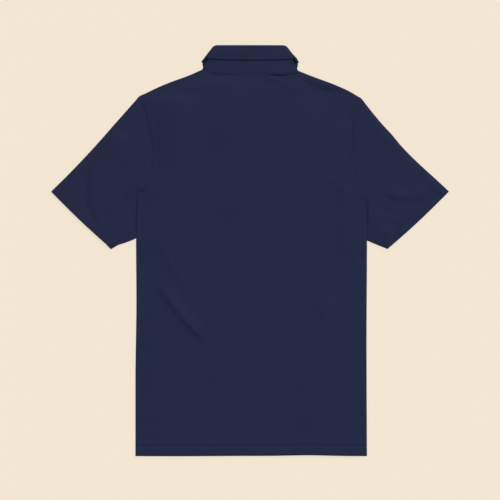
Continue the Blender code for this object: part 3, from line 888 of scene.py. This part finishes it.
def back_relief(column, x, y):
    """Loft, creases, hem and seam allowances of the back."""
    off = edge_distance(x, y, BACK_NECK)
    lofty, wavy, creased = (smooth(off / reach) for reach in BACK_REACHES)
    relief = BACK_PUFF * lofty + waves(x, y) * wavy
    relief += (strokes(BACK_CREASES, x, y) + sum(swell(rise, x, y) for rise in BACK_SWELLS)) * creased
    if column.weight > 0.5:
        low, high = ARMHOLE_ROLL_UPS
        relief += allowance(column.off, y)
        relief += roll(ARMHOLE_ROLL, column.off) * smooth((y - low) / (high - low))
    hem = y - HEM_UP
    return relief + hem_relief(hem, x) - HEM_EDGE_DROP * (1.0 - rounded(hem / HEM_EDGE_REACH))


def back_panel(knit, thread):
    """The back, which shows from above, and its stitches."""

    def place(column, row):
        x, y = panel_point(column, row, BACK_NECK)
        height = panel_height(column, row, back_ceiling(x, y), front_floor(x, y), NECK_DIP.at(x))
        return x, y, height + back_relief(column, x, y)

    columns = panel_columns(steps(TURNS, 0.0, 90.0), BACK_CELL)
    mesh = mapped_grid(columns, panel_rows(BACK_CELL), place)
    item, tree = cloth("back_cloth", mesh, knit, KNIT)
    return item, [hem_stitches("hem_stitches_back", tree, UP, thread), neck_stitches(tree, thread)]


def front_panel(knit, thread):
    """The front, on the floor, with a slit at its centre that the placket fills, and its stitches."""
    slit = math.degrees(math.asin(SLIT_OUT / NECK_OUT))
    turns = merged(steps(SLIT_CELLS, 0.0, slit), steps(FRONT_TURNS, slit, 90.0))
    columns = panel_columns(turns, FRONT_CELL)
    rows = panel_rows(FRONT_CELL)
    middle = len(columns) // 2

    def place(column, row):
        x, y = panel_point(column, row, FRONT_NECK)
        height = panel_height(column, row, front_floor(x, y), back_ceiling(x, y), SEAM_DIP)
        creased = smooth(edge_distance(x, y, FRONT_NECK) / FRONT_CREASE_REACH)
        return x, y, height + strokes(FRONT_CREASES, x, y) * creased + grooves(y - HEM_UP)

    def outside_slit(column, row):
        return not -SLIT_CELLS <= column - middle < SLIT_CELLS or rows[row].up < CHEST_UP

    mesh = mapped_grid(columns, rows, place, keep=outside_slit)
    bmesh.ops.reverse_faces(mesh, faces=mesh.faces)
    item, tree = cloth("front_cloth", mesh, knit, KNIT)
    return item, [hem_stitches("hem_stitches_front", tree, DOWN, thread)]


def placket_strip(name, width, height, low_up, knit):
    """A strip of the placket, at a height above the outer face of the front panel."""
    fine = [sign * part for sign in (-1.0, 1.0) for part in PLACKET_FINE]

    def place(part, share):
        x = width * part
        y = lerp(low_up, neck_up(abs(x), FRONT_NECK), share)
        edge_off = (0.5 - abs(part)) * width
        return x, y, front_floor(x, y) + height + groove(edge_off - PLACKET_ROW_OFF)

    mesh = mapped_grid(merged(steps(8, -0.5, 0.5), fine), steps(56), place)
    bmesh.ops.reverse_faces(mesh, faces=mesh.faces)
    return cloth(name, mesh, knit, TURNED)


def placket_top(knit, thread):
    """The strip with the buttonholes, and its stitches."""
    item, tree = placket_strip("placket_top_cloth", PLACKET_WIDTH, 0.0, CHEST_UP + SEAM_GAP, knit)
    return item, [placket_stitches(tree, thread)]


def placket_under(knit):
    """The strip behind it, to which the buttons belong."""
    height, low_up = SOLID + SEAM_GAP, CHEST_UP - PLACKET_TAIL
    return placket_strip("placket_under_cloth", PLACKET_UNDER_WIDTH, height, low_up, knit)[0], []


# ------------------------ sleeves


class Sleeve:
    """Shape of a sleeve: a tube pressed flat, from the armhole to the cuff."""

    def __init__(self, side):
        self.side, self.sign, self.leaves = side, SIGN[side], SLEEVE_LEAVES[side]
        self.tip, self.corner = (TIP_OUT + SLEEVE_TIP_GAP, TIP_UP), SLEEVE_UNDER[side][0]
        ups = steps(SLEEVE_STEPS, TIP_UP, self.leaves)[1:]
        sewn = [(EDGE[side].at(up) + ARMHOLE_GAP, up) for up in ups]
        tucked = [between(sewn[-1], self.corner, part) for part in steps(6)[1:]]
        self.armhole = Path((self.tip, *sewn, *tucked))
        self.fold = Path((self.tip, *SLEEVE_FOLD[side]))
        self.under = Path(SLEEVE_UNDER[side])
        self.cuff = SLEEVE_FOLD[side][-1], SLEEVE_UNDER[side][-1]

    def flat(self, around, outward):
        """Place in the outline: around from the fold to the underarm, outward to the cuff."""
        fold_end, under_end = self.cuff
        lengthways = between(self.armhole.at(around), between(fold_end, under_end, around), outward)
        crossways = between(self.fold.at(outward), self.under.at(outward), around)
        ends = between(self.tip, fold_end, outward), between(self.corner, under_end, outward)
        straight = between(*ends, around)
        out, up = (one + other - both for one, other, both in zip(lengthways, crossways, straight))
        bulge = CUFF_BULGE * math.sin(math.pi * around) * outward * outward * math.sqrt(0.5)
        return out + bulge, up - bulge

    def cuff_distance(self, out, up):
        """Distance of a place from the cuff's edge."""
        around, off = along_and_off(*self.cuff, out, up)
        return abs(off) + CUFF_BULGE * math.sin(math.pi * min(max(around, 0.0), 1.0))

    def outward_at(self, around, row):
        """Place between armhole and cuff of a row, which near the cuff is a distance from it."""
        kind, value = row
        near = 0.85
        run = self.cuff_distance(*self.flat(around, near)) / (1.0 - near)
        return value * (1.0 - CUFF_ZONE / run) if kind == "inner" else 1.0 - value / run

    def beside(self, out, up):
        """Distance of a place from the body's edge, below zero inside the body."""
        edge = EDGE[self.side]
        off = min(math.hypot(out - edge.at(up + step), step) for step in steps(32, -0.006, 0.006))
        return math.copysign(off, out - edge.at(up))

    def clearance(self, beside):
        """Share of its relief that the sleeve keeps at a distance from the body's edge."""
        share, reach = SLEEVE_CLEAR[self.side]
        return lerp(share, 1.0, smooth(beside / reach)) * smooth(1.0 + beside / CLEAR_UNDER)

    def relief(self, out, up, fold_off, under_off):
        """Loft, creases, puckers and cuff of the upper layer, and the dip at its seam."""
        x = self.sign * out
        beside = self.beside(out, up)
        lofty, wavy, creased = (smooth(min(fold_off, under_off) / reach) for reach in SLEEVE_REACHES)
        step, slope = STEP_BESIDE
        relief = SLEEVE_PUFF * lofty * smooth(beside / PUFF_BESIDE) + step * smooth(beside / slope)
        relief += waves(x, up) * wavy + strokes(SLEEVE_CREASES[self.side], x, up) * creased
        relief += roll(FOLD_ROLL, fold_off) + puckers(ARMHOLE_PUCKERS, up, beside)
        relief += CUFF_SHARE * hem_relief(self.cuff_distance(out, up), fold_off)
        if up < self.leaves - SLEEVE_HOOK:
            relief *= self.clearance(beside)
        if up >= self.leaves:
            relief -= SEAM_DIP * (1.0 - rounded(beside / SEAM_REACH))
        return relief

    def stack(self, out, up, height):
        """Height of any layer, pressed where it's tucked under the body and lifted at the seam."""
        edge_out = EDGE[self.side].at(up)
        inside, above = edge_out - out, up - self.leaves
        turned = smooth(above / SEAM_CLIMB) * smooth(inside / SEAM_TUCK)
        tucked = smooth(-above / SEAM_CLIMB) * smooth(inside / TUCK_SLOPE)
        height = lerp(height, lerp(SLEEVE_HEIGHT / 2, height, SEAM_NARROW), turned)
        lift = back_ceiling(self.sign * edge_out, up) - LAYER - SOLID
        lift *= smooth((above + SLEEVE_HOOK * smooth(1.0 - inside / SEAM_SHOWN)) / SEAM_CLIMB)
        return height * lerp(1.0, TUCK_SHARE, tucked) + lift * math.exp(min(inside, 0.0) / SEAM_FADE)


def sleeve_ring():
    """Spots round the tube: place from fold to underarm, and angle of turning over."""
    turns = steps(8, 0.0, 180.0)[1:-1]
    across = merged(steps(SLEEVE_STEPS), steps(5, 0.0, 0.03), steps(5, 0.97, 1.0))
    upper = [(around, 0.0) for around in across]
    under = [(1.0, turn) for turn in turns]
    lower = [(around, 180.0) for around in reversed(across)]
    fold = [(0.0, 180.0 + turn) for turn in turns]
    return [*upper, *under, *lower, *fold, upper[0]]


def sleeve_rows():
    """Rows from inside the armhole to the cuff: the inner ones, then those near the cuff."""
    inner = merged(steps(48), (-0.008, -0.004, 0.004, 0.009, 0.014))
    near = merged(HEM_FINE, steps(9, 0.0, CUFF_ZONE)[:-1])
    return [("inner", share) for share in inner] + [("cuff", off) for off in reversed(near)]


def sleeve(side, knit, thread):
    """A sleeve, all round, and its stitches."""
    shape = Sleeve(side)
    middle = SLEEVE_HEIGHT / 2
    radius = middle - KNIT / 2
    fold_out, fold_up = shape.cuff[0]
    lean = math.atan2(fold_up - TIP_UP, shape.sign * (fold_out - TIP_OUT))

    def place(spot, row):
        around, turn = spot
        outward = shape.outward_at(around, row)
        width = math.dist(shape.flat(0.0, outward), shape.flat(1.0, outward))
        around = lerp(middle / width, 1.0 - middle / width, around)
        around += radius * math.sin(math.radians(turn)) / width
        out, up = shape.flat(around, outward)
        height = shape.stack(out, up, middle + radius * math.cos(math.radians(turn)))
        if turn == 0.0:
            height += shape.relief(out, up, around * width, (1.0 - around) * width)
        return shape.sign * out, up, height

    def weave(column, row, point):
        return (
            point.y * math.cos(lean) - point.x * math.sin(lean),
            point.x * math.cos(lean) + point.y * math.sin(lean),
        )

    mesh = mapped_grid(sleeve_ring(), sleeve_rows(), place, weave, closed=True)
    bmesh.ops.recalc_face_normals(mesh, faces=mesh.faces)
    item, tree = cloth(f"sleeve_{side}_cloth", mesh, knit, KNIT, offset=0.0)
    return item, [cuff_stitches(shape, tree, thread)]


# ------------------------ collar


def collar_stations():
    """Stations from the back centre to the front end: turn on the neckline and turn-over angle."""
    back = [(turn, 0.0) for turn in steps(TURNS, 0.0, 90.0)]
    side = [(lerp(90.0, COLLAR_FRONT_TURN, part), 180.0 * part) for part in steps(16)[1:-1]]
    last = 180.0 - math.degrees(math.asin(COLLAR_END_OUT / NECK_OUT))
    front = [(turn, 180.0) for turn in steps(TURNS, COLLAR_FRONT_TURN, last)]
    return back + side + front


def collar_section():
    """Spots across the collar, from its seam over the fold to the leaf's free edge."""
    stand = [("stand", part) for part in merged(TUCK_PARTS, steps(14), (0.02, 0.045))]
    fold = [("fold", turn) for turn in steps(10, 0.0, 180.0)[1:-1]]
    leaf = [("leaf", part) for part in merged(steps(14), (0.97, 0.985))]
    return stand + fold + leaf


def collar_point(spot, station, mirror):
    """Place of a spot of the collar's section at a station, on the right or, mirrored, the left."""
    kind, part = spot
    turn, over = station
    level = math.cos(math.radians(over))
    seam = neck_seam(turn)
    fold = FOLD_OUT.at(turn), FOLD_UP.at(turn)
    rise = math.dist(seam, fold)
    if kind == "stand":
        x, y = between(seam, fold, part)
        radius = STAND_RADIUS
    elif kind == "fold":
        bend = (LEAF_RADIUS - STAND_RADIUS) / 2
        x, y = between(seam, fold, 1.0 + bend * math.sin(math.radians(part)) / rise)
        radius = STAND_RADIUS + bend * (1.0 - math.cos(math.radians(part)))
    else:
        x, y = between(fold, (LEAF_OUT.at(turn), LEAF_UP.at(turn)), part)
        crown = LEAF_CROWN * math.sin(math.pi * part) * max(level, 0.0)
        radius = LEAF_RADIUS + LEAF_LIFT.at(turn) * part * part + crown
    aside = radius * math.sin(math.radians(over)) / rise
    x, y = mirror * (x + (fold[1] - seam[1]) * aside), y - (fold[0] - seam[0]) * aside
    height = COLLAR_MIDDLE + radius * level
    if over == 0.0:
        height += smooth((90.0 - turn) / CREASE_FADE_TURN) * strokes(COLLAR_CREASES, x, y)
        if kind == "stand":
            height -= (NECK_DIP.at(x) + NECK_DIP_COLLAR) * (1.0 - rounded(part * rise / NECK_DIP_REACH))
            height -= TUCK_DROP * smooth(part / TUCK_PARTS[-1])
    return x, y, height


def collar(knit, thread):
    """The collar and its stitches: a folded band round the neck, its front ends under the front."""
    half = collar_stations()
    stations = [(-1.0, station) for station in reversed(half)] + [(1.0, station) for station in half[1:]]

    def place(spot, station):
        mirror, where = station
        return collar_point(spot, where, mirror)

    def weave(column, row, point):
        return row * COLLAR_WEAVE[0], column * COLLAR_WEAVE[1]

    mesh = mapped_grid(collar_section(), stations, place, weave)
    bmesh.ops.recalc_face_normals(mesh, faces=mesh.faces)
    item, tree = cloth("collar_cloth", mesh, knit, TURNED, offset=0.0)
    return item, [collar_stitches(tree, thread)]


# ------------------------ stitches


def on_surface(tree, x, y, out):
    """Point of a piece's face at a place, found from the side that out points to."""
    start = Vector((*settled(x, y), 0.0)) + out * 0.05
    return tree.ray_cast(start, -out)[0]


def add_stitch(mesh, start, end, out):
    """A short thread with pointed ends that dip into the cloth."""
    aside = (end - start).normalized().cross(out).normalized()
    first, last = (mesh.verts.new(point - out * THREAD) for point in (start, end))
    turns = [math.tau * k / STITCH_SIDES for k in range(STITCH_SIDES)]
    rings = []
    for share, width in STITCH_RINGS:
        middle = start.lerp(end, share) + out * THREAD * (width - STITCH_SINK)
        spokes = [aside * math.cos(turn) + out * math.sin(turn) for turn in turns]
        rings.append([mesh.verts.new(middle + spoke * THREAD * width) for spoke in spokes])
    for k in range(STITCH_SIDES):
        after = (k + 1) % STITCH_SIDES
        mesh.faces.new((first, rings[0][after], rings[0][k]))
        for here, there in zip(rings, rings[1:]):
            mesh.faces.new((here[k], here[after], there[after], there[k]))
        mesh.faces.new((last, rings[-1][k], rings[-1][after]))


def stitch_row(mesh, tree, line, length, out=UP):
    """A row of stitches along a line on a face; the line gives a place for each fraction."""
    pitch = STITCH + STITCH_GAP
    count = round(length / pitch)
    for k in range(count):
        ends = [on_surface(tree, *line(share / count), out) for share in (k, k + STITCH / pitch)]
        if None not in ends:
            add_stitch(mesh, *ends, out)


def straight_row(mesh, tree, start, end, out):
    """A straight row of stitches from one place to another."""
    stitch_row(mesh, tree, lambda share: between(start, end, share), math.dist(start, end), out)


def stitch_piece(name, mesh, thread):
    """The stitches of a piece as one object."""
    bmesh.ops.recalc_face_normals(mesh, faces=mesh.faces)
    return new_piece(name, mesh, thread)


def hem_stitches(name, tree, out, thread):
    """The two rows along the hem of a panel."""
    mesh = bmesh.new()
    left, right = (sign * (EDGE[side].at(HEM_UP) - HEM_ROW_END) for side, sign in SIGN.items())
    for up in (HEM_UP + row for row in HEM_ROWS):
        straight_row(mesh, tree, (left, up), (right, up), out)
    return stitch_piece(name, mesh, thread)


def cuff_stitches(shape, tree, thread):
    """The two rows round a cuff, on both of its layers."""
    mesh = bmesh.new()
    (fold_out, fold_up), (under_out, under_up) = shape.cuff
    length = math.dist(*shape.cuff)
    inward_out, inward_up = (under_up - fold_up) / length, (fold_out - under_out) / length
    for row in HEM_ROWS:
        ends = []
        for part in (CUFF_ROW_END / length, 1.0 - CUFF_ROW_END / length):
            out, up = between(*shape.cuff, part)
            ends.append((shape.sign * (out + inward_out * row), up + inward_up * row))
        for face in (UP, DOWN):
            straight_row(mesh, tree, *ends, face)
    return stitch_piece(f"cuff_stitches_{shape.side}", mesh, thread)


def collar_stitches(tree, thread):
    """The row near the leaf's free edge, over the back."""
    mesh = bmesh.new()
    edge = Path([(LEAF_OUT.at(turn), LEAF_UP.at(turn)) for turn in steps(12, 0.0, LEAF_ROW_TURN)])
    for sign in SIGN.values():

        def line(share):
            out, up = edge.at(share)
            return sign * out * LEAF_ROW_SHARE, up + LEAF_ROW_OFF

        stitch_row(mesh, tree, line, edge.length)
    return stitch_piece("collar_stitches", mesh, thread)


def neck_stitches(tree, thread):
    """The row along the neckline, on the back panel."""
    mesh = bmesh.new()

    def line(share):
        x = lerp(-NECK_OUT, NECK_OUT, share) * NECK_ROW_SHARE
        return x, neck_up(abs(x), BACK_NECK) - NECK_ROW_OFF

    stitch_row(mesh, tree, line, 2 * NECK_OUT)
    return stitch_piece("neck_stitches", mesh, thread)


def placket_stitches(tree, thread):
    """Edge rows, the crossed box at the foot, and the buttonholes of the placket."""
    mesh = bmesh.new()
    half = PLACKET_WIDTH / 2 - PLACKET_ROW_OFF
    low, high = CHEST_UP + PLACKET_ROW_END, neck_up(half, FRONT_NECK) - PLACKET_ROW_END
    for x in (-half, half):
        straight_row(mesh, tree, (x, low), (x, high), DOWN)
    for up in (low, low + PLACKET_BOX):
        straight_row(mesh, tree, (-half, up), (half, up), DOWN)
    for up in BUTTON_UPS:
        buttonhole(mesh, tree, up)
    return stitch_piece("placket_stitches", mesh, thread)


def buttonhole(mesh, tree, up):
    """A buttonhole: close stitches all round a slit."""
    reach = (BUTTONHOLE_LENGTH - BUTTONHOLE_WIDTH) / 2
    for sign in SIGN.values():
        for y in steps(BUTTONHOLE_STITCHES, up - reach, up + reach):
            ends = [on_surface(tree, sign * x, y, DOWN) for x in (BUTTONHOLE_SLIT, BUTTONHOLE_WIDTH / 2)]
            add_stitch(mesh, *ends, DOWN)


# ------------------------ buttons


def button(number, up, resin, thread):
    """A four-hole button with a raised rim and a dished face, and its thread."""
    mesh = bmesh.new()
    points = [mesh.verts.new((out, 0.0, height)) for out, height in reversed(BUTTON_SECTION)]
    for here, there in zip(points, points[1:]):
        mesh.edges.new((here, there))
    item = new_piece(f"button_{number}_resin", mesh, resin)
    item.location = (0.0, up, 0.0)
    turned = item.modifiers.new("turned", "SCREW")
    turned.steps = turned.render_steps = 48
    turned.use_merge_vertices = True
    turned.merge_threshold = WELD
    holes = []
    for turn in (math.tau * (k + 0.5) / 4 for k in range(4)):
        x, y = BUTTON_HOLE_OUT * math.cos(turn), up + BUTTON_HOLE_OUT * math.sin(turn)
        holes.append(Vector((x, y, 0.0)))
        drill(item, (x, y, 0.0))
    item.data.shade_smooth()
    item.data.set_sharp_from_angle(angle=math.radians(40.0))
    return item, [button_thread(number, holes, thread)]


def drill(item, hole):
    """Cut a hole straight through a button."""
    bpy.ops.mesh.primitive_cylinder_add(vertices=20, radius=BUTTON_HOLE_RADIUS, depth=0.01, location=hole)
    cutter = bpy.context.object
    item.modifiers.new("hole", "BOOLEAN").object = cutter
    bpy.context.view_layer.objects.active = item
    for name in [modifier.name for modifier in item.modifiers]:
        bpy.ops.object.modifier_apply(modifier=name)
    bpy.data.objects.remove(cutter, do_unlink=True)


def button_thread(number, holes, thread):
    """Two bars of thread over a button's face, each from one hole to the next."""
    mesh = bmesh.new()
    for here, there in ((0, 3), (1, 2)):
        for aside in (-0.00035, 0.0, 0.00035):
            shift = Vector((aside, 0.0, BUTTON_DISH))
            add_stitch(mesh, holes[here] + shift, holes[there] + shift, DOWN)
    return stitch_piece(f"button_{number}_thread", mesh, thread)


# ------------------------ materials


class Nodes:
    """A material's node tree, with short ways to add to it."""

    def __init__(self, name):
        self.material = bpy.data.materials.new(name)
        self.material.use_nodes = True
        self.tree = self.material.node_tree

    def fill(self, node, inputs):
        """Give a node's inputs their values, or join them to other nodes' outputs."""
        for key, value in inputs.items():
            if isinstance(value, bpy.types.NodeSocket):
                self.tree.links.new(value, node.inputs[key])
            else:
                node.inputs[key].default_value = value

    def add(self, kind, inputs=None, **settings):
        """A node with some of its inputs and properties set."""
        node = self.tree.nodes.new(kind)
        for key, value in settings.items():
            setattr(node, key, value)
        self.fill(node, inputs or {})
        return node

    def place(self):
        """Place on the object."""
        return self.add("ShaderNodeTexCoord").outputs["Object"]

    def math(self, operation, first, second=0.0):
        """Output of a Math node on two values or outputs."""
        return self.add("ShaderNodeMath", {0: first, 1: second}, operation=operation).outputs[0]

    def noise(self, place, scale, detail):
        """Output of a noise texture."""
        inputs = {"Vector": place, "Scale": scale, "Detail": detail}
        return self.add("ShaderNodeTexNoise", inputs).outputs["Fac"]

    def ramp(self, factor, low, high):
        """Colour between two, by a factor."""
        inputs = {"Factor": factor, "A": low, "B": high}
        return self.add("ShaderNodeMix", inputs, data_type="RGBA").outputs["Result"]

    def bump(self, height, distance, strength, **before):
        """Normal of a bump, on top of another one where that is given as Normal."""
        inputs = {"Height": height, "Distance": distance, "Strength": strength, **before}
        return self.add("ShaderNodeBump", inputs).outputs["Normal"]

    def surface(self, inputs):
        """The material, once its shader's inputs are set."""
        self.fill(self.tree.nodes["Principled BSDF"], inputs)
        return self.material


def shade(colour, share):
    """A colour made darker or lighter by a share."""
    return (*(channel * share for channel in colour), 1.0)


def knit_material(name):
    """Smooth jersey: rows of fine V stitches, a matt surface with a faint sheen, and painted shade that
    darkens the colour between the loops.
    """
    nodes = Nodes(name)
    place = nodes.add("ShaderNodeUVMap", uv_map="weave").outputs["UV"]
    split = nodes.add("ShaderNodeSeparateXYZ", {"Vector": place})
    across = nodes.math("MULTIPLY", split.outputs["X"], 1.0 / WALE)
    up = nodes.math("MULTIPLY", split.outputs["Y"], 1.0 / COURSE)
    leg = nodes.math("PINGPONG", across, 0.5)
    slant = nodes.math("ADD", up, nodes.math("MULTIPLY", leg, 1.4))
    loops = nodes.math("SINE", nodes.math("MULTIPLY", slant, math.tau))
    ribs = nodes.math("SINE", nodes.math("MULTIPLY", leg, math.tau))
    height = nodes.math("MULTIPLY", nodes.math("ADD", loops, 1.6), ribs)
    fibres = nodes.noise(place, scale=2600.0, detail=2.0)
    patches = nodes.noise(place, scale=22.0, detail=3.0)
    relief = nodes.bump(height, distance=0.0001, strength=0.55)
    relief = nodes.bump(fibres, distance=0.00006, strength=0.35, Normal=relief)
    # Colour: painted shade, darker between the loops by their height, plus random tone of patches and
    # fibres
    level = nodes.math("ADD", nodes.math("MULTIPLY", height, 0.1), nodes.math("MULTIPLY", patches, 0.5))
    level = nodes.math("ADD", level, nodes.math("MULTIPLY", fibres, 0.25))
    return nodes.surface(
        {
            "Base Color": nodes.ramp(level, shade(NAVY, 0.9), shade(NAVY, 1.12)),
            "Normal": relief,
            "Roughness": nodes.math("ADD", nodes.math("MULTIPLY", fibres, 0.12), 0.74),
            "Specular IOR Level": 0.12,
            "Sheen Weight": 0.04,
            "Sheen Roughness": 0.45,
            "Sheen Tint": (0.35, 0.42, 0.7, 1.0),
        }
    )


def thread_material():
    """Twisted polyester thread, a little shinier than the cloth."""
    nodes = Nodes("thread")
    twist = nodes.noise(nodes.place(), scale=5200.0, detail=1.0)
    return nodes.surface(
        {
            "Base Color": nodes.ramp(twist, shade(THREAD_NAVY, 0.8), shade(THREAD_NAVY, 1.25)),
            "Normal": nodes.bump(twist, distance=0.00005, strength=0.4),
            "Roughness": 0.5,
            "Specular IOR Level": 0.4,
        }
    )


def resin_material():
    """Satin resin with a faint cloudy swirl."""
    nodes = Nodes("resin")
    place = nodes.place()
    clouds = nodes.noise(place, scale=260.0, detail=4.0)
    colour = nodes.ramp(clouds, shade(BUTTON_NAVY, 0.8), shade(BUTTON_NAVY, 1.5))
    dust = nodes.noise(place, scale=900.0, detail=2.0)
    relief = nodes.bump(dust, distance=0.00003, strength=0.2)
    return nodes.surface({"Base Color": colour, "Normal": relief, "Roughness": 0.32})


def floor_material():
    """Pale paper on a light table."""
    nodes = Nodes("floor_paper")
    grain = nodes.noise(nodes.place(), scale=900.0, detail=2.0)
    share = 1.0 - PAPER_GLOW
    return nodes.surface(
        {
            "Base Color": nodes.ramp(grain, shade(PAPER, 0.99 * share), shade(PAPER, 1.01 * share)),
            "Emission Color": (*PAPER, 1.0),
            "Emission Strength": PAPER_GLOW,
            "Roughness": 1.0,
            "Specular IOR Level": 0.0,
        }
    )


# ------------------------ stage


def stage():
    """Floor, light and camera."""
    bpy.ops.mesh.primitive_circle_add(
        vertices=64, radius=FLOOR_RADIUS, fill_type="NGON", location=DOWN * FLOOR_DROP
    )
    floor = bpy.context.object
    floor.name = "floor"
    floor.data.materials.append(floor_material())
    world = bpy.data.worlds.new("studio")
    world.use_nodes = True
    bpy.context.scene.world = world
    background = world.node_tree.nodes["Background"]
    background.inputs["Color"].default_value = (1.0, 1.0, 1.0, 1.0)
    background.inputs["Strength"].default_value = SKY_STRENGTH
    sun = bpy.data.lights.new("lamp", "SUN")
    sun.energy = LAMP_STRENGTH
    sun.angle = math.radians(LAMP_ANGLE)
    turn, rise = math.radians(LAMP_TURN), math.radians(LAMP_RISE)
    away = Vector((math.cos(turn) * math.cos(rise), math.sin(turn) * math.cos(rise), math.sin(rise)))
    lamp = add_object("lamp", sun)
    lamp.location = away * 3.0
    lamp.rotation_euler = away.to_track_quat("Z", "Y").to_euler()
    lens = bpy.data.cameras.new("camera")
    lens.lens = LENS_MM
    lens.sensor_width = SENSOR_MM
    camera = add_object("camera", lens)
    camera.location = (0.0, FRAME_MIDDLE_UP, FRAME_WIDTH * LENS_MM / SENSOR_MM + SOLID * 2)
    bpy.context.scene.camera = camera
    bpy.context.scene.view_settings.view_transform = "Standard"


# ------------------------ main


def pieces():
    """Each shown piece and its stitches, by the solid that they stand for."""
    body_knit, collar_knit = knit_material("jersey"), knit_material("collar_jersey")
    thread, resin = thread_material(), resin_material()
    made = {
        "back": back_panel(body_knit, thread),
        "front": front_panel(body_knit, thread),
        "collar": collar(collar_knit, thread),
        "placket_top": placket_top(body_knit, thread),
        "placket_under": placket_under(body_knit),
    }
    for side in SIGN:
        made[f"sleeve_{side}"] = sleeve(side, body_knit, thread)
    for number, up in enumerate(BUTTON_UPS, start=1):
        made[f"button_{number}"] = button(number, up, resin, thread)
    return made


def main():
    """Dress the frame."""
    for item in list(bpy.data.objects):
        bpy.data.objects.remove(item, do_unlink=True)
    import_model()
    made = pieces()
    for node, (piece, threads) in made.items():
        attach(piece, "root")
        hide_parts(node)
        for row in threads:
            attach(row, "root")
    for node, (width, length, area) in FLATS.items():
        piece, threads = made[node]
        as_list(threads)
    stage()


main()
